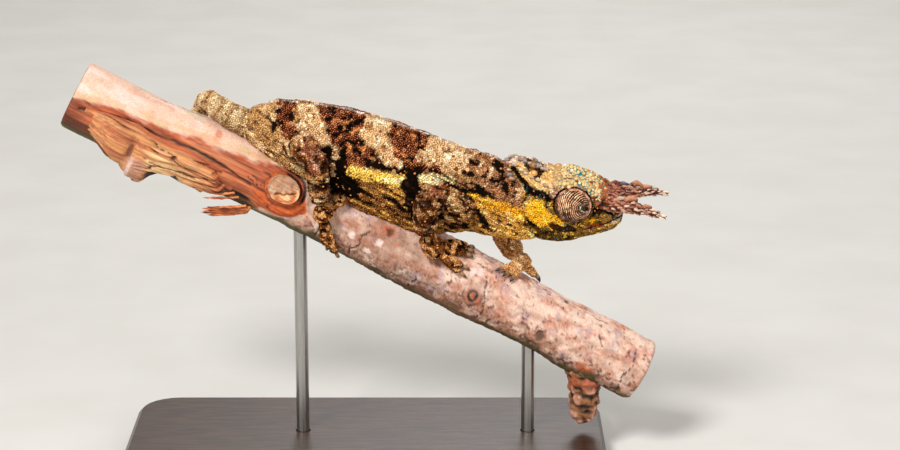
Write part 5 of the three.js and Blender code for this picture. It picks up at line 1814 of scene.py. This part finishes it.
def buildStub():
    along, turn = branch["stub"][0], math.radians(branch["stub"][1])
    out = np.array([0, -math.sin(turn), math.cos(turn)])
    across = np.array([0, -math.cos(turn), -math.sin(turn)])
    middle = np.array([along, 0, sagAt(along)])
    ring, angle = gridOf(np.linspace(0, 1, stub["rings"]), turnsOf(stub["sides"]))
    circle = np.stack([np.cos(angle), np.sin(angle), 0 * angle], 1)
    half = stub["half"]
    share = np.clip(ring / stub["face"], 0, 1)  # over the sawn face, then down its side
    fall = np.clip((ring - stub["face"]) / (1 - stub["face"]), 0, 1)
    wide = share + 0.34 * fall ** 1.5
    wide = wide * (1 + 0.05 * cloud(3 * circle, 1.4, 122))
    x, y = wide * half[0] * np.cos(angle), wide * half[1] * np.sin(angle)
    flatPlace = np.stack([x, y, 0 * x], 1)
    crack = nearLine(flatPlace[:, :2] + 0.15 * cloud(flatPlace, 0.8, 128)[:, None], stub["crack"])
    face = 0.22 * cloud(flatPlace, 1.5, 121, 2) - 0.5 * hill(crack, 0, 0.2) + 0.16 * hill(crack, 0.5, 0.3)
    face += 0.07 * np.sin(3.4 * np.hypot(x + 0.2, y - 0.9) + cloud(flatPlace, 1.2, 129))
    side = 0.34 * cloud(4 * circle, 0.8, 123, 2) * np.sin(np.pi * fall)
    height = stub["rise"] + np.where(fall > 0, 0.15, face) - (stub["rise"] + 1.6) * fall ** 1.15
    height += 0.28 * hill(ring, 0.6, 0.035) + side
    drop = branch["radius"] - np.sqrt(np.maximum(branch["radius"] ** 2 - y ** 2, 9))
    own = middle + np.outer(x + 0.3 * side, (1, 0, 0)) + np.outer(y, across)
    own = own + np.outer(branch["radius"] + height - drop * fall, out)
    points = branchPlace.outside(own)
    ends = [points[:stub["sides"]].mean(0), points[-stub["sides"]:].mean(0)]
    faces = [face[::-1] for face in tubeFaces(stub["rings"], stub["sides"])]
    mesh = meshOf("stub", np.vstack([points, ends]), faces)
    whirl = np.sin(2.6 * np.hypot(x - 1.2, y - 1.4) + 2 * cloud(flatPlace, 1.6, 124, 2))
    warm = 0.62 * x + 0.78 * y + 0.9 * cloud(flatPlace, 1.6, 130, 2)
    rough = cloud(own, (1.4, 0.6, 0.6), 127, 3)
    colour = barkMix(
        "c08e6c",
        ("olive", cloud(flatPlace, 1.0, 126, 2), 0.3, 0.8, 0.5),
        ("brown", cloud(flatPlace, 0.7, 127, 2), 0.35, 0.8, 0.6),
        ("woodLight", warm, 0.2, 1.1, 0.9),
        ("straw", warm * 0.4 + 0.7 * whirl, 0.7, 1.3, 0.85),
        ("orange", warm * 0.3 - 0.7 * whirl, 0.7, 1.3, 0.6),
        ("black", hill(crack, 0, 0.17), 0.3, 0.9, 0.85),
        ("woodDark", hill(ring, 0.665, 0.035) + 0.3 * rough, 0.5, 0.9, 0.9))
    rim = barkMix(
        barkTones["orange"], ("woodLight", rough, 0.1, 0.7, 0.7), ("woodDark", -rough, 0.1, 0.5, 0.9))
    upper = smoothStep(np.cos(angle + 0.75), 0.3, 0.7) * smoothStep(fall, 0.12, 0.3)
    colour = colour + (rim - colour) * smoothStep(fall, 0.05, 0.2)[:, None]
    colour = barkMix(colour, ("black", upper, 0.2, 0.8, 0.9))
    setColours(mesh, "marking", np.vstack([colour, colour[:2]]))
    return mesh


def makeWoodPaint(name, bumpDepth=0.2):
    paint = Paint(name, Roughness=0.7)
    streak = paint.noise(1, 5, paint.read("grain", "Vector"), (160, 2600, 2600))
    fine = paint.noise(4200, 4)
    amount = paint.step(streak, 0.3, 0.7) * 0.5 + fine * 0.35 + 0.5
    colour = paint.darken(paint.read("marking", "Color"), amount)
    return paint.surface(Base_Color=colour, Normal=paint.bump(streak + fine * 0.5, bumpDepth)).material


torn = {
    "edges": [  # along, degrees round to its top and its bottom edge, how far the bottom edge hangs
        (-83, 73, 115, 0.1), (-78.9, 67, 124, 0.3), (-73.1, 60, 129, 0.7), (-70.3, 59, 137, 1.0),
        (-68, 61, 143, 2.2), (-65.4, 64, 148, 3.0), (-63.3, 65, 150, 2.8), (-62.3, 65, 150, 1.6),
        (-59.9, 66, 147, 0.6), (-56.8, 68, 138, 0.1), (-54, 72, 131, 0), (-50.4, 78, 130, 0.2),
        (-47.1, 82, 128, 0.2), (-43.0, 87, 122, 0)],
    "step": 0.26,
    "outer": 58,
    "inner": 14,
    "thick": 1.95,
}


def buildTornWood():
    low, high = torn["edges"][0][0], torn["edges"][-1][0]
    rows = np.arange(low, high, torn["step"])
    down = np.concatenate([np.linspace(0, 1, torn["outer"]), np.linspace(1, 0, torn["inner"])])
    along, share = gridOf(rows, down)
    outside = np.tile(np.arange(len(down)) < torn["outer"], len(rows))
    places, *edges = zip(*torn["edges"])
    start, end, hang = (np.interp(along, places, edge) for edge in edges)
    line = np.stack([along, 0 * along, 0 * along], 1)
    start = start + 1.6 * cloud(line, 3.0, 131, 3)
    end = end + (1 + 4 * smoothStep(along, -61, -57)) * cloud(line, 1.6, 132, 3)
    around = start + (end - start) * share
    arc = around * branch["degree"]
    flat = np.stack([along, arc, 0 * arc], 1)
    flat[:, 1] += 0.5 * cloud(flat, (9, 4, 4), 135)
    fibres, coarse = cloud(flat, (9, 0.6, 1), 133, 3), cloud(flat, (8, 2.0, 1), 134, 2)
    splits = hill(cloud(flat, (12, 1.1, 1), 136, 2), 0.1, 0.07) * smoothStep(along, -70, -62)
    rightEnd = high - 2.6 + 2.6 * cloud(flat * (0.05, 1, 1), 0.9, 137, 2) - 3.5 * hill(share, 0.15, 0.2)
    leftEnd = low + 1.2 + 1.4 * cloud(flat * (0.05, 1, 1), 1.6, 138)
    reach = smoothStep(along, leftEnd, leftEnd + 9) ** 0.8
    reach *= 1 - smoothStep(along, rightEnd - 0.9, rightEnd)
    rise = smoothStep(share + 0.05 * coarse, -0.05, 0.3)
    height = (torn["thick"] - 0.45 * share) * rise + hang * share ** 3
    notch = hill(along, -69.2, 1.0) * hill(share, 0.5, 0.3)
    hollow = hill(along, -60.0, 4.0) * smoothStep(share, 0.62, 0.8) * smoothStep(along, -64.4, -63)
    lip = hill(along, -67.3, 1.3) * smoothStep(share, 0.35, 0.6)
    height += 0.3 * fibres + 0.34 * coarse - 0.9 * splits - 0.9 * notch - 1.9 * hollow + 0.5 * lip
    height = height * reach - 0.7 * (1 - reach)
    under = np.minimum(height - 0.3, -1.0 + hang * share ** 3)
    radius = branch["radius"] + swellAt(along) + np.where(outside, height, under)
    points = onBranch(along, around, radius)
    count = len(down)
    ends = [points[:count].mean(0), points[-count:].mean(0)]
    mesh = meshOf("tornWood", np.vstack([points, ends]), tubeFaces(len(rows), count))
    # pale is where the plate's middle catches the light: the straw it brings is partly the fibres' own pale
    # colour and partly a painted highlight.
    pale = smoothStep(along, -68, -62) * (1 - smoothStep(along, -54, -48)) * hill(share, 0.5, 0.35)
    flap = hill(along, -66.4, 3.0) * smoothStep(share, 0.35, 0.65)
    # lowEdge marks the plate's low edge at the left end, which is painted dark further on as shade.
    lowEdge = smoothStep(share, 0.86, 0.97) * smoothStep(-along, 70, 76)
    colour = barkMix(
        "c98a58",
        ("woodLight", fibres + 0.4 * coarse, -0.1, 0.5, 0.8),
        ("straw", 0.8 * pale + 0.5 * fibres + 0.4 * coarse, 0.5, 1.0, 0.85),
        ("wood", -fibres + 0.3 * coarse, 0.25, 0.6, 0.7),
        ("wood", smoothStep(along, -52, -45) + 0.4 * fibres, 0.3, 0.9, 0.8),
        ("woodDark", -fibres - 0.5 * coarse + 0.4 * smoothStep(along, -52, -46), 0.5, 0.8, 0.9),
        ("woodDark", splits, 0.2, 0.7, 0.9),
        ("rust", 1 - smoothStep(share, 0.03, 0.16) + 0.3 * fibres, 0.4, 1.0, 0.75),
        ("rose", flap + 0.2 * coarse, 0.3, 0.7, 0.7),
        # A painted highlight along the flap's left edge.
        ("pinkWhite", hill(along, -67.8, 0.7) * smoothStep(share, 0.45, 0.6), 0.4, 0.9, 0.6),
        ("woodDark", notch + 0.2 * fibres, 0.4, 0.9, 0.8),
        # Painted shade in the hollow under the flap.
        ("black", hollow + 0.2 * fibres, 0.25, 0.6, 0.95),
        # Painted shade on the plate's underside and along its low edge at the left end.
        ("woodDark", np.maximum(lowEdge, ~outside), 0.2, 0.8, 0.9))
    setColours(mesh, "marking", np.vstack([colour, colour[:2]]))
    return mesh


splinter = {"steps": 20, "sides": 10, "bow": (0, 0.3, -0.35)}
splinters = [  # root, tip, half width, half thickness, in the branch's frame
    ((-37.2, -6.2, -5.4), (-46.6, -6.9, -10.2), 0.42, 0.34),
    ((-37.2, -6.2, -5.8), (-47.6, -6.9, -11.2), 0.46, 0.36),
    ((-37.3, -6.0, -6.3), (-47.0, -6.6, -11.9), 0.46, 0.36),
    ((-37.4, -5.8, -6.8), (-47.4, -6.3, -12.7), 0.42, 0.34),
    ((-37.4, -5.6, -7.2), (-45.6, -6.1, -12.6), 0.4, 0.3),
    ((-38.4, -6.9, -5.0), (-44.4, -7.5, -8.6), 0.34, 0.26),
    ((-41.0, -7.6, -3.4), (-48.6, -8.6, -7.4), 0.34, 0.22),
    ((-42.4, -7.9, -2.6), (-47.0, -8.9, -5.2), 0.3, 0.2),
]


def buildSplinters():
    forms = []
    for root, tip, wide, thick in splinters:
        root, tip = np.array(root, float), np.array(tip, float)
        steps = np.linspace(0, 1, splinter["steps"])[:, None]
        bow = np.array(splinter["bow"]) * np.sin(np.pi * steps)
        path = root * (1 - steps) + tip * steps + bow
        jag = 1 + 0.3 * cloud(path, 0.9, 141, 2)
        taper = np.interp(steps[:, 0], (0, 0.5, 0.85, 1), (1, 0.95, 0.7, 0.15)) * jag
        half = np.stack([taper * thick, taper * wide], 1)
        forms.append(loft(path, half, splinter["sides"], (0, 0.35, 1), 0.2))
    points, faces = joinedForm(forms)
    rough = cloud(points, (5, 0.4, 0.4), 142, 3)
    points = points + 0.1 * rough[:, None]
    mesh = meshOf("splinters", branchPlace.outside(points), faces)
    setColours(mesh, "marking", barkMix(
        "c8622a", ("woodLight", rough, 0.0, 0.5, 0.85), ("woodDark", -rough, 0.0, 0.5, 0.9)))
    return mesh


bud = {
    "puff": 0.35,
    "voxel": 0.3,
    "evenRounds": 16,
    "root": (51.6, 0, 0),
    "way": (0.467, -0.229, -0.854),  # in the branch's frame, as the root
}


def buildBud():
    mesh = remeshed("sideBud", ["perch_side_bud"], bud["puff"], bud["voxel"])
    even(mesh, bud["evenRounds"], np.zeros(len(mesh.vertices)))
    points = pointsOf(mesh)
    own = branchPlace.inside(points)
    warts, rough = cloud(own, 1.9, 151, 2), cloud(own, 0.8, 152, 2)
    hang = (own - bud["root"]) @ bud["way"]
    folds = np.sin(2 * np.pi * hang / 2.3 + 2.8 * cloud(own, 2.4, 153))
    lift = 0.6 * warts + 0.2 * rough + 0.14 * folds - 0.2
    push(mesh, np.minimum(lift, 0.3) * smoothStep(hang, 6, 10))
    # Rose on the raised warts is partly a painted highlight, and the black in the folds between them is
    # painted shade.
    setColours(mesh, "marking", barkMix(
        "94603c",
        ("rose", warts + 0.4 * rough, 0.0, 0.6, 0.8),
        ("umber", -warts - 0.3 * folds, 0.1, 0.6, 0.85),
        ("black", -warts - 0.6 * folds - 0.3 * rough, 0.6, 1.1, 0.9),
        ("rust", hill(hang, 9.5, 3) + 0.6 * warts, 0.5, 1.2, 0.7)))
    setNumbers(mesh, "sawn", np.zeros(len(points)))
    setNumbers(mesh, "bareWood", np.zeros(len(points)))
    return mesh


print("branch")
barkPaint, woodPaint = makeBarkPaint(), makeWoodPaint("tornWood")
for name, build, paint, slot, node in (
        ("branch_bark", buildBranch, barkPaint, "bark", "perch_branch"),
        ("branch_sawn_stub", buildStub, makeWoodPaint("sawnStub", 0.12), "bare_wood", "perch_pruned_stub"),
        ("branch_torn_wood", buildTornWood, woodPaint, "bare_wood", "perch_torn_wood"),
        ("branch_splinters", buildSplinters, woodPaint, "bare_wood", "perch_splinter"),
        ("branch_side_bud", buildBud, barkPaint, "bark", "perch_side_bud")):
    piece = addPiece(name, build(), paint)
    setGrain(piece.data)
    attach(piece, "root")
    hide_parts(node)


# The display stand keeps its plain shapes and gets its own finishes.
def makeBasePaint():
    paint = Paint("walnutBase", Roughness=0.35)
    grain = paint.noise(1, 5, None, (30, 420, 420))
    rings = paint.add("ShaderNodeMath", {"operation": "SINE"}, {0: grain * 42})
    fine = paint.noise(1, 3, None, (120, 3000, 3000))
    colour = paint.blend(paint.step(rings + fine, -0.6, 1.6), shade("2c1b12"), shade("4d3220"))
    colour, bumps = paint.darken(colour, fine * 0.5 + 0.75), paint.bump(fine * 0.6 + grain, 0.06)
    return paint.surface(Base_Color=colour, Normal=bumps, Coat_Weight=0.25).material


def makeRodPaint():
    paint = Paint("brushedSteel", Metallic=1.0, Roughness=0.28)
    brush = paint.noise(1, 3, None, (5200, 5200, 160))
    colour = paint.blend(brush, shade("8f8d89"), shade("c9c7c2"))
    rough = paint.add("ShaderNodeMapRange", None, {"Value": brush, "To Min": 0.2, "To Max": 0.42})
    return paint.surface(Base_Color=colour, Roughness=rough, Normal=paint.bump(brush, 0.01)).material


print("stand")
basePaint, rodPaint = makeBasePaint(), makeRodPaint()
for name, paint in (("stand_base", basePaint), ("stand_rod_tail", rodPaint), ("stand_rod_head", rodPaint)):
    for slot in cadNodes[name].material_slots:
        slot.material = paint


# The camera looks down 15 degrees on the animal's right side.
viewpoint = {
    "place": (20.67, -590.17, 217.17),
    "tilt": 75,
    "lens": (100, 36),  # focal length and sensor width
    "clip": (0.01, 20),  # metres
}

lens = bpy.data.cameras.new("camera")
lens.lens, lens.sensor_width = viewpoint["lens"]
lens.clip_start, lens.clip_end = viewpoint["clip"]
camera = bpy.data.objects.new("camera", lens)
camera.location = Vector(viewpoint["place"]) * toMetres
camera.rotation_euler = (math.radians(viewpoint["tilt"]), 0, 0)
bpy.context.scene.collection.objects.link(camera)
bpy.context.scene.camera = camera

# A pale floor and soft light from above.
studio = {
    "floor": 6.0,
    "lights": [  # place, watts, size, all in metres
        ((-0.35, -0.7, 0.72), 10.2, 0.3),
        ((0.6, -0.5, 0.4), 2.0, 0.6),
        ((0.1, 0.7, 0.6), 3, 0.6),
    ],
    "aim": (0, 0, 0.06),
    "sky": ("f4f2ee", 0.3),
}


def buildStudio():
    half = studio["floor"] / 2 / toMetres
    corners = [(x * half, y * half, 0) for x, y in ((-1, -1), (1, -1), (1, 1), (-1, 1))]
    mesh = meshOf("floor", corners, [(0, 1, 2, 3)])
    paint = Paint("paleFloor", Roughness=0.7)
    grain = paint.noise(30, 4)
    paint.surface(Base_Color=paint.blend(paint.step(grain, 0.3, 0.7), shade("d8d5ce"), shade("dddad4")))
    floor = addPiece("floor", mesh, paint.material)
    floor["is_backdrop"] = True
    for i, (place, watts, size) in enumerate(studio["lights"]):
        light = bpy.data.lights.new(f"softbox{i}", "AREA")
        light.energy, light.size, light.shape = watts, size, "DISK"
        lamp = bpy.data.objects.new(f"softbox{i}", light)
        lamp.location = place
        towards = Vector(studio["aim"]) - Vector(place)
        lamp.rotation_euler = towards.to_track_quat("-Z", "Y").to_euler()
        bpy.context.scene.collection.objects.link(lamp)
    world = bpy.data.worlds.new("studio")
    world.use_nodes = True
    sky = world.node_tree.nodes["Background"]
    sky.inputs["Color"].default_value = shade(studio["sky"][0])
    sky.inputs["Strength"].default_value = studio["sky"][1]
    bpy.context.scene.world = world
    bpy.context.scene.view_settings.view_transform = "Standard"


print("studio")
buildStudio()

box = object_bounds()
[[list(corner) for corner in pair] for pair in (cadBox, box)]
